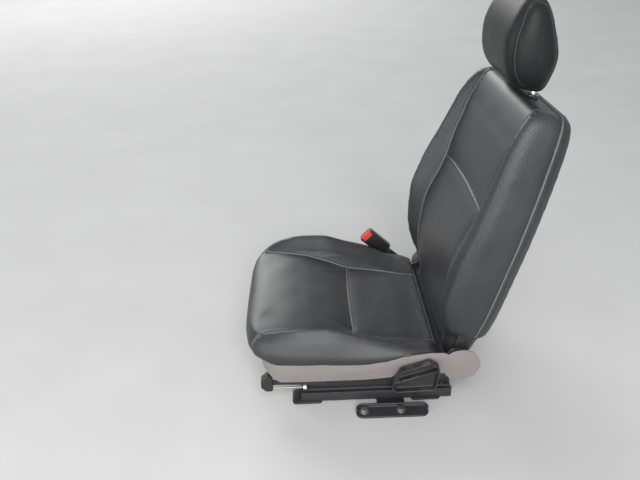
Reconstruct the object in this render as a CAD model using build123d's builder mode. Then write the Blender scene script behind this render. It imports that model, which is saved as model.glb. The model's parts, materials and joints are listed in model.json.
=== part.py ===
from build123d import *
import os
from math import cos, radians, sin

# Front passenger seat of an ambulance cab, in millimetres.
# X points outboard (to the sitter's left), the seat faces -Y, Z is up.
# The origin is the centre of the floor bolt rectangle, on the floor.

os.makedirs("parts", exist_ok=True)

SIDES = {"outboard": 1, "inboard": -1}
pieces = {}

# Floor bolts and feet
bolt_half_x = 205
bolt_half_y = 150
bolt_hole_radius = 5.5
foot_width = 50
foot_length = 76
foot_height = 5

# Lower rail: a channel with curled lips
rail_front = -165
rail_rear = 215
rail_half_width = 20
rail_height = 27
rail_sheet = 2.5
rail_lip_inset = 11
rail_lip_drop = 8
rail_bend = 3

# Upper rail: a hooked tee that runs in the channel
upper_front = -160
upper_rear = 210
stem_half = 5
tee_gap = 3.5
tee_side_gap = 2
tee_thickness = 3
hook_height = 12
hook_thickness = 2.4
cap_half = 18
cap_thickness = 6
cap_gap = 6
shoe_clearance = 0.3
shoe_half_width = 12
shoe_length = 30
shoe_places = (20, 110)

# Side frames, pivots and tubes
frame_offset = 7
frame_sheet = 4
frame_setback = 10
frame_rear_gap = 4
frame_corner = 12
flange_width = 26
pan_level = 112
recline_angle = 13.8
pivot_setback = 528
pivot_rise = 13
ear_radius = 28
pin_radius = 10
pin_clearance = 0.05
arm_sheet = 5
arm_half_width = 18
arm_reach = 120
arm_gap = 4
disc_radius = 26
disc_gap = 0.5
stub_radius = 8
stub_end = 3
tube_radius = 12.5
tube_wall = 2
tube_drop = 32
tube_places = {"front": -120, "rear": 140}

# Cushion pan
pan_setback = 57
pan_rear_gap = 54
pan_neck_length = 62
pan_neck_gap = 3
pan_height = 9
pan_sheet = 3
pan_corner = 40

# Cushion
cushion_front = -302
cushion_overhang = 5
cushion_base_inset = 11
cushion_ledge_width = 30
ledge_bevel = 4
cushion_crest_inset = 34
cushion_dish_inset = 84

# Backrest
heel_gap = 1
wing_width = 40
back_flank = 20
back_crest_inset = 20
back_crest_limit = 202
back_dish_inset = 46
back_dish_limit = 166
heel_radius = 36
soft_gap = 0.3
panel_bottom = 70
panel_top = 540
panel_inset_bottom = 57
panel_inset_top = 82
panel_sheet = 4
panel_corner = 30

# Headrest
post_x = 62
post_n = 8
post_radius = 6
post_length = 205
post_socket = 60
guide_radius = 10
guide_length = 45
guide_collar_radius = 14
guide_collar_height = 6
back_top = 618
headrest_gap = 5

# Side skirt on the outboard side, and the cover over the inboard hinge
skirt_gap = 26
skirt_wall = 3
skirt_corner = 60
skirt_turn = 60
skirt_hub_radius = 46
skirt_boss_radius = 7
skirt_bosses = ((-120, -12), (50, -8))
skirt_front_corner = 97
cover_gap = 20
cover_radius = 44

# Recliner lever
lever_gap = 5
lever_depth = 18
lever_plate = 3
lever_rim = 4
lever_rib_length = 140
lever_rib_angle = 18
lever_arm_gap = 8
lever_arm_sheet = 5
lever_arm_half = 7
lever_eye = 14
lever_post_length = 20
lever_post_height = 18
lever_corner = 9

# Slide lever, release bar and latch rod
slide_arm_sheet = 4
slide_arm_low = 10
slide_arm_high = 32
slide_arm_step = 2
slide_arm_rear_setback = 202
slide_arm_front_setback = 58
slide_arm_neck_setback = 122
knob_half_width = 11
knob_setback = 38
knob_length = 29
knob_drop = -2
knob_rise = 53
knob_corner = 5
knob_slant = 17
knob_chin = 12
release_bar_radius = 4
release_bar_gap = 2
release_plate_overlap = 14
latch_rod_radius = 2
latch_rod_rise = 4
clip_length = 9
clip_size = 8

# Buckle
buckle_y = 160
buckle_drop = 12
buckle_lean = 42.7
buckle_gap = 39
buckle_half_depth = 12
buckle_low = 92
buckle_mouth = 165
buckle_low_half = 13
buckle_mouth_half = 26
buckle_mouth_length = 12
buckle_corner = 4
buckle_wall = 3
buckle_button_rim = 5
button_depth = 10
button_seat = 8
button_proud = 2
slot_depth = 6
slot_width = 32
slot_length = 26
buckle_boss_radius = 12
buckle_nut_radius = 13
buckle_nut = 6
stalk_sheet = 3
stalk_half = 10
stalk_eye_wall = 5
stalk_grip = 8
stalk_clearance = 0.3

# Anchor bracket
bracket_offset = 43
bracket_width = 38
bracket_front = -30
bracket_length = 180
bracket_sheet = 5
bracket_rim = 9
bracket_rim_wall = 4
bracket_corner_gap = 2
bracket_tongue_length = 70
bracket_bolt_places = (-10, 82)
bolt_washer_radius = 12
bolt_washer = 2
bolt_head_radius = 9
bolt_head = 7

lean = radians(recline_angle)
up = Vector(0, sin(lean), cos(lean))
forward = Vector(0, -cos(lean), sin(lean))
pivot_y = cushion_front + pivot_setback
pivot_z = pan_level + pivot_rise
pivot = Vector(0, pivot_y, pivot_z)

rail_top = foot_height + rail_height
tee_level = foot_height + rail_sheet + tee_gap
tee_half = rail_half_width - rail_sheet - tee_side_gap
cap_level = rail_top + cap_gap
cap_top = cap_level + cap_thickness

frame_inner = bolt_half_x + frame_offset
frame_outer = frame_inner + frame_sheet
frame_front = upper_front + frame_setback
frame_rear = upper_rear - frame_rear_gap
arm_inner = frame_inner - arm_gap - arm_sheet
stub_length = lever_arm_gap + lever_arm_sheet + stub_end
skirt_inner = frame_outer + skirt_gap
skirt_outer = skirt_inner + skirt_wall
lever_inner = skirt_outer + lever_gap
lever_arm_inner = frame_outer + lever_arm_gap

pan_front = cushion_front + pan_setback
pan_rear = pivot_y - pan_rear_gap
pan_neck_start = pan_rear - pan_neck_length
pan_half = frame_outer
pan_neck_half = frame_inner - pan_neck_gap
cushion_level = pan_level + pan_height
cushion_half = skirt_outer + cushion_overhang
back_half = arm_inner - heel_gap + wing_width

slide_arm_rear = cushion_front + slide_arm_rear_setback
slide_arm_front = cushion_front + slide_arm_front_setback
slide_arm_neck = cushion_front + slide_arm_neck_setback
knob_front = cushion_front + knob_setback
knob_rear = knob_front + knob_length
knob_low = cap_top - knob_drop
knob_high = cap_top + knob_rise
release_bar_y = frame_front - release_bar_gap - release_bar_radius
release_bar_z = cap_top + (slide_arm_low + slide_arm_high) / 2
latch_rod_z = cap_top + latch_rod_rise

buckle_z = pan_level - buckle_drop
buckle_centre_x = -frame_outer - buckle_gap - buckle_half_depth
bracket_inner = bolt_half_x + bracket_offset
bracket_outer = bracket_inner + bracket_width


def station(y, x=0):
    """Upright plane across the seat, with local axes X and Z."""
    return Plane(origin=(x, y, 0), x_dir=(1, 0, 0), z_dir=(0, -1, 0))


def back_level(u):
    """Plane across the backrest at the height u along it, with local axes X and forward."""
    return Plane(origin=pivot + up * u, x_dir=(1, 0, 0), z_dir=-up)


def back_side(x):
    """Plane along the backrest, with local axes up and forward, facing outboard."""
    return Plane(origin=pivot + Vector(x, 0, 0), x_dir=up, z_dir=(1, 0, 0))


def back_face(n):
    """Plane on the backrest's front, with local axes X and up, facing forward."""
    return Plane(origin=pivot + forward * n, x_dir=(1, 0, 0), z_dir=forward)


def buckle_side(x):
    """Plane through the buckle, with its first axis along the stalk."""
    tilt = radians(buckle_lean)
    return Plane(origin=(x, buckle_y, buckle_z), x_dir=(0, -cos(tilt), sin(tilt)), z_dir=(1, 0, 0))


def seat_side(points):
    """Side view points, given behind the cushion's front edge and above the pan's underside."""
    return [(cushion_front + y, pan_level + z) for y, z in points]


def both_halves(points):
    """Close an outline whose right half runs from the middle line back to it."""
    return points + [(-x, y) for x, y in reversed(points) if x > 0]


# Feet and lower rails
for side_name, side in SIDES.items():
    rail_x = side * bolt_half_x
    for end_name, end in (("front", -1), ("rear", 1)):
        with BuildPart() as foot:
            with BuildSketch():
                with Locations((rail_x, end * bolt_half_y)):
                    RectangleRounded(foot_width, foot_length, 10)
                    Circle(bolt_hole_radius, mode=Mode.SUBTRACT)
            extrude(amount=foot_height)
        pieces[f"foot_{end_name}_{side_name}"] = foot.part

    lip_low = rail_top - rail_lip_drop
    lip_edge = rail_half_width - rail_lip_inset
    with BuildPart() as lower_rail:
        with BuildSketch(station(rail_front, rail_x)) as channel:
            Polygon(*both_halves([
                (0, foot_height),
                (rail_half_width, foot_height),
                (rail_half_width, rail_top),
                (lip_edge, rail_top),
                (lip_edge, lip_low),
                (lip_edge + rail_sheet, lip_low),
                (lip_edge + rail_sheet, rail_top - rail_sheet),
                (rail_half_width - rail_sheet, rail_top - rail_sheet),
                (rail_half_width - rail_sheet, foot_height + rail_sheet),
                (0, foot_height + rail_sheet),
            ]), align=None)
            bends = channel.vertices().filter_by(lambda v: abs(abs(v.X - rail_x) - rail_half_width) < 0.01)
            fillet(bends, rail_bend)
        extrude(amount=rail_front - rail_rear)
        with Locations((rail_x, -bolt_half_y, foot_height), (rail_x, bolt_half_y, foot_height)):
            Cylinder(bolt_hole_radius, 4 * rail_sheet, mode=Mode.SUBTRACT)
    pieces[f"lower_rail_{side_name}"] = lower_rail.part

# Anchor bracket beside the outboard rail, with its two bolts
bracket_middle = (bracket_inner + bracket_width / 2, bracket_front + bracket_length / 2)
bracket_corner = bracket_width / 2 - bracket_corner_gap
bracket_bolts = [(bracket_middle[0] - 1, y) for y in bracket_bolt_places]
with BuildPart() as bracket:
    with BuildSketch():
        with Locations(bracket_middle):
            RectangleRounded(bracket_width, bracket_length, bracket_corner)
        with Locations(((bolt_half_x + bracket_inner) / 2, bracket_middle[1])):
            Rectangle(bracket_inner - bolt_half_x + bracket_width / 2, bracket_tongue_length)
    extrude(amount=bracket_sheet)
    with BuildSketch(Plane.XY.offset(bracket_sheet)):
        with Locations(bracket_middle):
            RectangleRounded(bracket_width, bracket_length, bracket_corner)
            RectangleRounded(
                bracket_width - 2 * bracket_rim_wall,
                bracket_length - 2 * bracket_rim_wall,
                bracket_corner - bracket_rim_wall,
                mode=Mode.SUBTRACT,
            )
        with Locations((bracket_outer, bracket_middle[1])):
            Rectangle(bracket_width, bracket_length, mode=Mode.SUBTRACT)
    extrude(amount=bracket_rim)
pieces["anchor_bracket"] = bracket.part

with BuildPart() as bracket_bolt:
    with BuildSketch(Plane.XY.offset(bracket_sheet)):
        with Locations(*bracket_bolts):
            Circle(bolt_washer_radius)
    extrude(amount=bolt_washer)
    with BuildSketch(Plane.XY.offset(bracket_sheet + bolt_washer)):
        with Locations(*bracket_bolts):
            RegularPolygon(bolt_head_radius, 6)
    extrude(amount=bolt_head)
pieces["anchor_bolts"] = bracket_bolt.part

# Upper rails with their nylon shoes
for side_name, side in SIDES.items():
    rail_x = side * bolt_half_x
    with BuildPart() as upper_rail:
        with BuildSketch(station(upper_front, rail_x)):
            Polygon(*both_halves([
                (0, tee_level),
                (tee_half, tee_level),
                (tee_half, tee_level + hook_height),
                (tee_half - hook_thickness, tee_level + hook_height),
                (tee_half - hook_thickness, tee_level + tee_thickness),
                (stem_half, tee_level + tee_thickness),
                (stem_half, cap_level),
                (cap_half, cap_level),
                (cap_half, cap_top),
                (0, cap_top),
            ]), align=None)
        extrude(amount=upper_front - upper_rear)
    pieces[f"upper_rail_{side_name}"] = upper_rail.part

    shoe_height = tee_gap - shoe_clearance
    with BuildPart() as shoes:
        with Locations(*[(rail_x, y, tee_level - shoe_height / 2) for y in shoe_places]):
            Box(2 * shoe_half_width, shoe_length, shoe_height)
    pieces[f"slide_shoes_{side_name}"] = shoes.part

# Side frames with the recliner pins, and the discs round the pins
for side_name, side in SIDES.items():
    with BuildPart() as side_frame:
        with BuildSketch(Plane.YZ.offset(side * frame_inner)):
            Polygon(
                (frame_front, cap_top),
                (frame_front, pan_level - frame_corner),
                (frame_front + frame_corner, pan_level),
                (pan_rear - frame_corner, pan_level),
                (pivot_y - ear_radius / 2, pivot_z + 0.8 * ear_radius),
                (pivot_y, pivot_z + ear_radius),
                (pivot_y + ear_radius, pivot_z),
                (frame_rear, pivot_z - 2 * ear_radius),
                (frame_rear, cap_top),
                align=None,
            )
            with Locations((pivot_y, pivot_z)):
                Circle(ear_radius)
        extrude(amount=side * frame_sheet)
        with BuildSketch(Plane.XY.offset(cap_top)):
            with Locations((side * (frame_outer - flange_width / 2), (frame_front + frame_rear) / 2)):
                Rectangle(flange_width, frame_rear - frame_front)
        extrude(amount=frame_sheet)
        with BuildSketch(Plane.YZ.offset(side * arm_inner)):
            with Locations((pivot_y, pivot_z)):
                Circle(pin_radius)
        extrude(amount=side * (frame_inner - arm_inner))
        if side > 0:
            with BuildSketch(Plane.YZ.offset(frame_outer)):
                with Locations((pivot_y, pivot_z)):
                    Circle(stub_radius)
            extrude(amount=stub_length)
    pieces[f"side_frame_{side_name}"] = side_frame.part

    with BuildPart() as disc:
        with BuildSketch(Plane.YZ.offset(side * frame_inner)):
            with Locations((pivot_y, pivot_z)):
                Circle(disc_radius)
                Circle(pin_radius + pin_clearance, mode=Mode.SUBTRACT)
        extrude(amount=-side * (arm_gap - disc_gap))
    pieces[f"recliner_disc_{side_name}"] = disc.part

# Cross tubes between the side frames
for tube_name, tube_y in tube_places.items():
    with BuildPart() as cross_tube:
        with BuildSketch(Plane.YZ.offset(-frame_inner)):
            with Locations((tube_y, pan_level - tube_drop)):
                Circle(tube_radius)
                Circle(tube_radius - tube_wall, mode=Mode.SUBTRACT)
        extrude(amount=2 * frame_inner)
    pieces[f"cross_tube_{tube_name}"] = cross_tube.part

# Pressed pan that carries the cushion
with BuildPart() as pan:
    with BuildSketch(Plane.XY.offset(pan_level)) as pan_plan:
        Polygon(*both_halves([
            (0, pan_front),
            (pan_half, pan_front),
            (pan_half, pan_neck_start),
            (pan_neck_half, pan_neck_start),
            (pan_neck_half, pan_rear),
            (0, pan_rear),
        ]), align=None)
        fillet(pan_plan.vertices().group_by(Axis.Y)[0].filter_by(lambda v: abs(v.X) > 1), pan_corner)
    extrude(amount=pan_height)
    offset(amount=-pan_sheet, openings=pan.faces().sort_by(Axis.Z)[0])
pieces["cushion_pan"] = pan.part


# Cushion sections from front to rear: distance behind the front edge, inset from the full half
# width, then above the pan: underside, side ledge, top of the side wall, crest of the bolster, middle,
# and how far the inboard side's ledge, wall and crest lie below the outboard ones
CUSHION_SECTIONS = (
    (0, 122, 29, 33, 49, 59, 60, 0),
    (12, 66, 18, 29, 55, 72, 71, 0),
    (34, 30, 4, 28, 62, 86, 80, 0),
    (77, 7, 0, 26, 70, 104, 81, 0),
    (152, 0, 0, 24.5, 72, 117, 76, 0),
    (199, 0, 0, 24, 70, 116, 65, 0),
    (282, 0, 0, 21.5, 57, 92, 38, 0),
    (342, 0, 0, 27.5, 53, 74, 27, 4),
    (400, 0, 0, 42, 50, 59, 19, 19),
    (422, 2, 0, 43, 48, 54, 15, 24),
    (454, 9, 0, 41, 47, 51, 10, 24),
    (481, 15, 0, 15, 20, 23, 8, 4),
)

with BuildPart() as cushion:
    for setback, inset, base, ledge, high, crest, middle, drop in CUSHION_SECTIONS:
        half = cushion_half - inset
        base_half = min(pan_half - cushion_base_inset, half - cushion_ledge_width)
        crest_x = half - cushion_crest_inset
        shoulder_x = half - 0.3 * cushion_crest_inset
        shoulder = high + 0.72 * (crest - high)
        with BuildSketch(station(cushion_front + setback)):
            with BuildLine():
                for side, fall in ((1, 0), (-1, drop)):
                    rim, wall, top = [cushion_level + height - fall for height in (ledge, high, crest)]
                    inner = [(0, cushion_level + base), (side * base_half, cushion_level + base)]
                    outer = [(side * (half - ledge_bevel), rim), (side * half, rim + ledge_bevel)]
                    Polyline(*inner, (side * base_half, rim), *outer, (side * half, wall))
                    bulge = (side * shoulder_x, cushion_level + shoulder - fall)
                    ThreePointArc((side * half, wall), bulge, (side * crest_x, top))
                    dish = (side * (half - cushion_dish_inset), cushion_level + middle)
                    Polyline((side * crest_x, top), dish, (0, cushion_level + middle))
            make_face()
    loft(ruled=True)
pieces["cushion_pad"] = cushion.part


# Backrest sections from heel to top:
# height along the back, inset from the full half width, rear face, top of the side wall,
# crest of the outboard bolster, rise of the inboard crest above it, middle
BACK_SECTIONS = (
    (-34, wing_width, -11, 5, 10, 0, 11),
    (-24, wing_width, -26, 11, 25, 0, 26),
    (0, wing_width, -heel_radius, 15, 35, 0, heel_radius),
    (26, wing_width, -42, 17, 38, 0, 39),
    (56, wing_width - soft_gap, -48, 22, 54, 2, 51),
    (70, 16, -48, 24, 64, 6, 57),
    (150, 2, -48, 56, 95, 17, 80),
    (245, 0, -48, 68, 99, 33, 88),
    (330, 0, -48, 66, 92, 30, 74),
    (430, 6, -48, 60, 86, 15, 65),
    (545, 22, -48, 50, 76, 6, 58),
    (600, 36, -42, 34, 60, 2, 46),
    (back_top, 52, -28, 18, 44, 0, 34),
)

with BuildPart() as back:
    for u, inset, rear, high, outboard_crest, rise, middle in BACK_SECTIONS:
        half = back_half - inset
        crest_x = min(half - back_crest_inset, back_crest_limit)
        shoulder_x = half - 0.3 * (half - crest_x)
        dish_x = min(half - back_dish_inset, back_dish_limit)
        with BuildSketch(back_level(u)):
            with BuildLine():
                for side, crest in ((1, outboard_crest), (-1, outboard_crest + rise)):
                    shoulder = (side * shoulder_x, high + 0.72 * (crest - high))
                    flank = (side * (half - back_flank), rear)
                    Polyline((0, rear), flank, (side * half, rear * 0.5), (side * half, high))
                    ThreePointArc((side * half, high), shoulder, (side * crest_x, crest))
                    Polyline((side * crest_x, crest), (side * dish_x, middle), (0, middle))
            make_face()
    loft(ruled=True)
    for side in SIDES.values():
        with BuildSketch(back_side(side * (arm_inner - soft_gap))):
            with Locations((arm_reach / 2, 0)):
                Rectangle(arm_reach + 2 * soft_gap, 2 * (arm_half_width + soft_gap))
        extrude(amount=side * (arm_sheet + 2 * soft_gap), mode=Mode.SUBTRACT)
    with BuildSketch(back_level(back_top)):
        with Locations((post_x, post_n), (-post_x, post_n)):
            Circle(guide_radius + soft_gap)
    extrude(amount=post_length, mode=Mode.SUBTRACT)
pieces["back_pad"] = back.part

# Recliner arms, which carry the backrest on the pins
for side_name, side in SIDES.items():
    with BuildPart() as arm:
        with BuildSketch(back_side(side * arm_inner)):
            Circle(disc_radius)
            with Locations((arm_reach / 2, 0)):
                Rectangle(arm_reach, 2 * arm_half_width)
            Circle(pin_radius + pin_clearance, mode=Mode.SUBTRACT)
        extrude(amount=side * arm_sheet)
    pieces[f"recliner_arm_{side_name}"] = arm.part

# Board that closes the rear of the backrest
back_rear = BACK_SECTIONS[6][2]
with BuildPart() as back_board:
    with BuildSketch(back_face(back_rear)) as board_face:
        Polygon(*both_halves([
            (0, panel_bottom),
            (back_half - panel_inset_bottom, panel_bottom),
            (back_half - panel_inset_top, panel_top),
            (0, panel_top),
        ]), align=None)
        fillet(board_face.vertices().filter_by(lambda v: abs(v.X) > 1), panel_corner)
    extrude(amount=-panel_sheet)
pieces["back_board"] = back_board.part

# Headrest guides in the top of the backrest
for side_name, side in SIDES.items():
    with BuildPart() as guide:
        with BuildSketch(back_level(back_top)):
            with Locations((side * post_x, post_n)):
                Circle(guide_radius)
        extrude(amount=guide_length)
        with BuildSketch(back_level(back_top)):
            with Locations((side * post_x, post_n)):
                Circle(guide_collar_radius)
        extrude(amount=-guide_collar_height)
        with BuildSketch(back_level(back_top + guide_collar_height)):
            with Locations((side * post_x, post_n)):
                Circle(post_radius + pin_clearance)
        extrude(amount=guide_length + guide_collar_height, mode=Mode.SUBTRACT)
    pieces[f"headrest_guide_{side_name}"] = guide.part

# Headrest sections from its underside up:
# height above the underside, half width, front, rear, corner radius
headrest_low = back_top + guide_collar_height + headrest_gap
HEADREST_SECTIONS = (
    (0, post_x + 10, 50, -2, 20),
    (10, 98, 73, -5, 30),
    (24, 113, 89, -6, 38),
    (48, 123, 105, -6, 44),
    (82, 128, 117, -3, 46),
    (107, 128, 121, 8, 46),
    (134, 124, 119, 23, 44),
    (159, 114, 112, 38, 34),
    (176, 100, 102, 51, 22),
    (186, 80, 90, 62, 12),
)

with BuildPart() as headrest:
    for height, half, front, rear, corner in HEADREST_SECTIONS:
        with BuildSketch(back_level(headrest_low + height)):
            with Locations((0, (front + rear) / 2)):
                RectangleRounded(2 * half, front - rear, corner)
    loft(ruled=True)
    with BuildSketch(back_level(headrest_low)):
        with Locations((post_x, post_n), (-post_x, post_n)):
            Circle(post_radius + soft_gap)
    extrude(amount=-(post_socket + soft_gap), mode=Mode.SUBTRACT)
pieces["headrest_pad"] = headrest.part

for side_name, side in SIDES.items():
    with BuildPart() as post:
        with BuildSketch(back_level(headrest_low + post_socket)):
            with Locations((side * post_x, post_n)):
                Circle(post_radius)
        extrude(amount=post_length)
        chamfer(post.edges().filter_by(GeomType.CIRCLE), 1)
    pieces[f"headrest_post_{side_name}"] = post.part

# Side skirt: a wall that follows the cushion's side and turns in at its front corner.
# Points run from the front along the top, round the shoulder by the hinge and back below the lever.
SKIRT_OUTLINE = seat_side((
    (36, 35), (78, 32.5), (138, 31), (234, 29), (324, 29), (359, 38), (392, 47), (431, 51), (452, 53),
    (486, 52), (504, 40), (pivot_setback, pivot_rise), (481, -12), (467, 16), (407, 16), (382, 0),
    (359, -17), (295, -22), (136, -22), (89, -21), (72, -13), (54, 4.5), (43, 21),
))

with BuildPart() as skirt:
    with BuildSketch(Plane.YZ):
        Polygon(*SKIRT_OUTLINE, align=None)
        with Locations((pivot_y, pivot_z)):
            Circle(skirt_hub_radius)
    extrude(amount=skirt_outer + skirt_wall)
    corner = (skirt_outer - skirt_corner, cushion_front + skirt_front_corner)
    skirt_end = pivot_y + skirt_hub_radius
    with BuildSketch() as skirt_plan:
        with BuildLine():
            Line((skirt_outer, skirt_end), (skirt_outer, corner[1]))
            turn = CenterArc(corner, skirt_corner, 0, -skirt_turn)
            inner_turn = CenterArc(corner, skirt_corner - skirt_wall, 0, -skirt_turn)
            Line(turn @ 1, inner_turn @ 1)
            Line((skirt_inner, corner[1]), (skirt_inner, skirt_end))
            Line((skirt_inner, skirt_end), (skirt_outer, skirt_end))
        make_face()
    extrude(amount=2 * pivot_z, mode=Mode.INTERSECT)
    with BuildSketch(Plane.YZ.offset(frame_outer)):
        with Locations(*[(y, pan_level + z) for y, z in skirt_bosses]):
            Circle(skirt_boss_radius)
    extrude(amount=skirt_gap)
    with BuildSketch(Plane.YZ.offset(frame_outer + stub_length)):
        with Locations((pivot_y, pivot_z)):
            Circle(stub_radius)
    extrude(amount=skirt_gap - stub_length)
pieces["side_skirt"] = skirt.part

# Round cover over the inboard recliner
with BuildPart() as hinge_cover:
    with BuildSketch(Plane.YZ.offset(-frame_outer - cover_gap)):
        with Locations((pivot_y, pivot_z)):
            Circle(cover_radius)
    extrude(amount=-skirt_wall)
    with BuildSketch(Plane.YZ.offset(-frame_outer)):
        with Locations((pivot_y, pivot_z)):
            Circle(stub_radius)
    extrude(amount=-cover_gap)
pieces["hinge_cover"] = hinge_cover.part

# Recliner lever: a rimmed paddle outside the skirt, with a post and an arm to the pivot stub
PADDLE = seat_side((
    (359, -36), (360, -20), (380, 19), (448, 43), (470, 28), (472, 6), (466, -46), (368, -49),
))
rib_middle, lever_post = seat_side(((418, 0), (454, 0)))

with BuildPart() as lever:
    with BuildSketch(Plane.YZ.offset(lever_inner)) as paddle_face:
        Polygon(*PADDLE, align=None)
        fillet(paddle_face.vertices(), lever_corner)
    extrude(amount=lever_depth)
    with BuildSketch(Plane.YZ.offset(lever_inner + lever_plate)) as recess:
        Polygon(*PADDLE, align=None)
        fillet(recess.vertices(), lever_corner)
        offset(amount=-lever_rim, mode=Mode.REPLACE)
        with Locations(rib_middle):
            Rectangle(lever_rib_length, lever_rim, rotation=lever_rib_angle, mode=Mode.SUBTRACT)
    extrude(amount=lever_depth, mode=Mode.SUBTRACT)
    with BuildSketch(Plane.YZ.offset(lever_arm_inner)):
        with Locations(lever_post):
            Rectangle(lever_post_length, lever_post_height)
    extrude(amount=lever_inner - lever_arm_inner)
    with BuildSketch(Plane.YZ.offset(lever_arm_inner)):
        Polygon(
            (lever_post[0] - lever_post_length / 2, lever_post[1] - lever_arm_half),
            (lever_post[0] - lever_post_length / 2, lever_post[1] + lever_arm_half),
            (pivot_y, pivot_z + lever_eye - 2),
            (pivot_y, pivot_z - lever_eye + 2),
            align=None,
        )
        with Locations((pivot_y, pivot_z)):
            Circle(lever_eye)
            Circle(stub_radius + pin_clearance, mode=Mode.SUBTRACT)
    extrude(amount=lever_arm_sheet)
pieces["recliner_lever"] = lever.part

# Slide lever: steel arm on the outboard frame with a plastic knob
arm_low = cap_top + slide_arm_low
arm_high = cap_top + slide_arm_high
SLIDE_ARM = (
    (slide_arm_rear, arm_low),
    (slide_arm_rear, arm_high),
    (slide_arm_neck, arm_high - slide_arm_step),
    (slide_arm_front, arm_high - slide_arm_step),
    (slide_arm_front, arm_low + 3 * slide_arm_step),
    (slide_arm_neck, arm_low + 2 * slide_arm_step),
)

with BuildPart() as slide_arm:
    with BuildSketch(Plane.YZ.offset(frame_outer)):
        Polygon(*SLIDE_ARM, align=None)
    extrude(amount=slide_arm_sheet)
pieces["slide_lever_arm"] = slide_arm.part

knob_x = frame_outer + slide_arm_sheet / 2
with BuildPart() as knob:
    with BuildSketch(Plane.YZ.offset(knob_x - knob_half_width)) as knob_face:
        Polygon(
            (knob_front, knob_high - knob_slant),
            (knob_front + knob_slant, knob_high),
            (knob_rear, knob_high - knob_corner),
            (knob_rear, knob_low),
            (knob_front + knob_chin, knob_low),
            (knob_front, knob_low + knob_chin),
            align=None,
        )
        fillet(knob_face.vertices(), knob_corner)
    extrude(amount=2 * knob_half_width)
    with BuildSketch(Plane.YZ.offset(frame_outer)):
        Polygon(*SLIDE_ARM, align=None)
    extrude(amount=slide_arm_sheet, mode=Mode.SUBTRACT)
pieces["slide_lever_knob"] = knob.part

with BuildPart() as release_bar:
    with BuildSketch(Plane.YZ.offset(-frame_outer)):
        with Locations((release_bar_y, release_bar_z)):
            Circle(release_bar_radius)
    extrude(amount=2 * frame_outer)
    with BuildSketch(Plane.YZ.offset(-frame_outer)):
        Polygon(
            (release_bar_y - release_plate_overlap, release_bar_z - 2 * release_bar_radius),
            (release_bar_y - release_plate_overlap, release_bar_z + 2 * release_bar_radius),
            (slide_arm_rear, arm_high),
            (slide_arm_rear, arm_low),
            align=None,
        )
    extrude(amount=-slide_arm_sheet)
pieces["release_bar"] = release_bar.part

with BuildPart() as latch_rod:
    with BuildSketch(station(knob_rear, knob_x)):
        with Locations((0, latch_rod_z)):
            Circle(latch_rod_radius)
    extrude(amount=knob_rear - upper_front)
pieces["latch_rod"] = latch_rod.part

with BuildPart() as clip:
    with Locations((knob_x, upper_front + clip_length / 2, latch_rod_z)):
        Box(clip_size, clip_length, clip_size)
pieces["latch_clip"] = clip.part

# Buckle bracket on the inboard frame, then the swinging stalk, housing and button
stalk_inner = buckle_centre_x + stalk_sheet / 2
with BuildPart() as buckle_bracket:
    with BuildSketch(Plane.YZ.offset(-frame_outer)):
        with Locations((buckle_y, buckle_z)):
            Circle(buckle_boss_radius)
    extrude(amount=-(-stalk_inner - stalk_clearance - frame_outer))
    with BuildSketch(Plane.YZ.offset(-frame_outer)):
        with Locations((buckle_y, buckle_z)):
            Circle(stub_radius)
    extrude(amount=-(-stalk_inner + stalk_sheet + stalk_clearance - frame_outer))
    with BuildSketch(Plane.YZ.offset(stalk_inner - stalk_sheet - stalk_clearance)):
        with Locations((buckle_y, buckle_z)):
            RegularPolygon(buckle_nut_radius, 6)
    extrude(amount=-buckle_nut)
pieces["buckle_bracket"] = buckle_bracket.part

with BuildPart() as stalk:
    with BuildSketch(buckle_side(stalk_inner - stalk_sheet)):
        Circle(stalk_half + stalk_eye_wall)
        with Locations(((buckle_low + stalk_grip) / 2, 0)):
            Rectangle(buckle_low + stalk_grip, 2 * stalk_half)
        Circle(stub_radius + pin_clearance, mode=Mode.SUBTRACT)
    extrude(amount=stalk_sheet)
pieces["buckle_stalk"] = stalk.part

# The housing is a rear shell with the button's seat, a frame with the tongue's slot, and a flat cover
button_outer = buckle_centre_x + buckle_half_depth - buckle_wall
button_half = buckle_mouth_half - buckle_button_rim
cover_face = buckle_centre_x - buckle_half_depth
slot_outer = cover_face + buckle_wall
slot_inner = slot_outer + slot_depth
BUCKLE_LAYERS = {
    "buckle_housing": (slot_inner, 2 * buckle_half_depth - buckle_wall - slot_depth),
    "buckle_frame": (slot_outer, slot_depth),
    "buckle_cover": (cover_face, buckle_wall),
}
for layer_name, (layer_x, layer_depth) in BUCKLE_LAYERS.items():
    with BuildPart() as layer:
        with BuildSketch(buckle_side(layer_x)) as layer_face:
            Polygon(
                (buckle_low, -buckle_low_half),
                (buckle_low, buckle_low_half),
                (buckle_mouth - buckle_mouth_length, buckle_mouth_half),
                (buckle_mouth, buckle_mouth_half),
                (buckle_mouth, -buckle_mouth_half),
                (buckle_mouth - buckle_mouth_length, -buckle_mouth_half),
                align=None,
            )
            fillet(layer_face.vertices(), buckle_corner)
            if layer_name == "buckle_frame":
                with Locations((buckle_mouth - slot_length / 2, 0)):
                    Rectangle(slot_length, slot_width, mode=Mode.SUBTRACT)
        extrude(amount=layer_depth)
        if layer_name == "buckle_housing":
            with BuildSketch(buckle_side(stalk_inner - stalk_sheet)):
                with Locations((buckle_low + stalk_grip / 2, 0)):
                    Rectangle(stalk_grip, 2 * stalk_half)
            extrude(amount=stalk_sheet, mode=Mode.SUBTRACT)
            with BuildSketch(buckle_side(button_outer)):
                with Locations((buckle_mouth - button_seat / 2, 0)):
                    Rectangle(button_seat, 2 * button_half)
            extrude(amount=-button_depth, mode=Mode.SUBTRACT)
    pieces[layer_name] = layer.part

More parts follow.
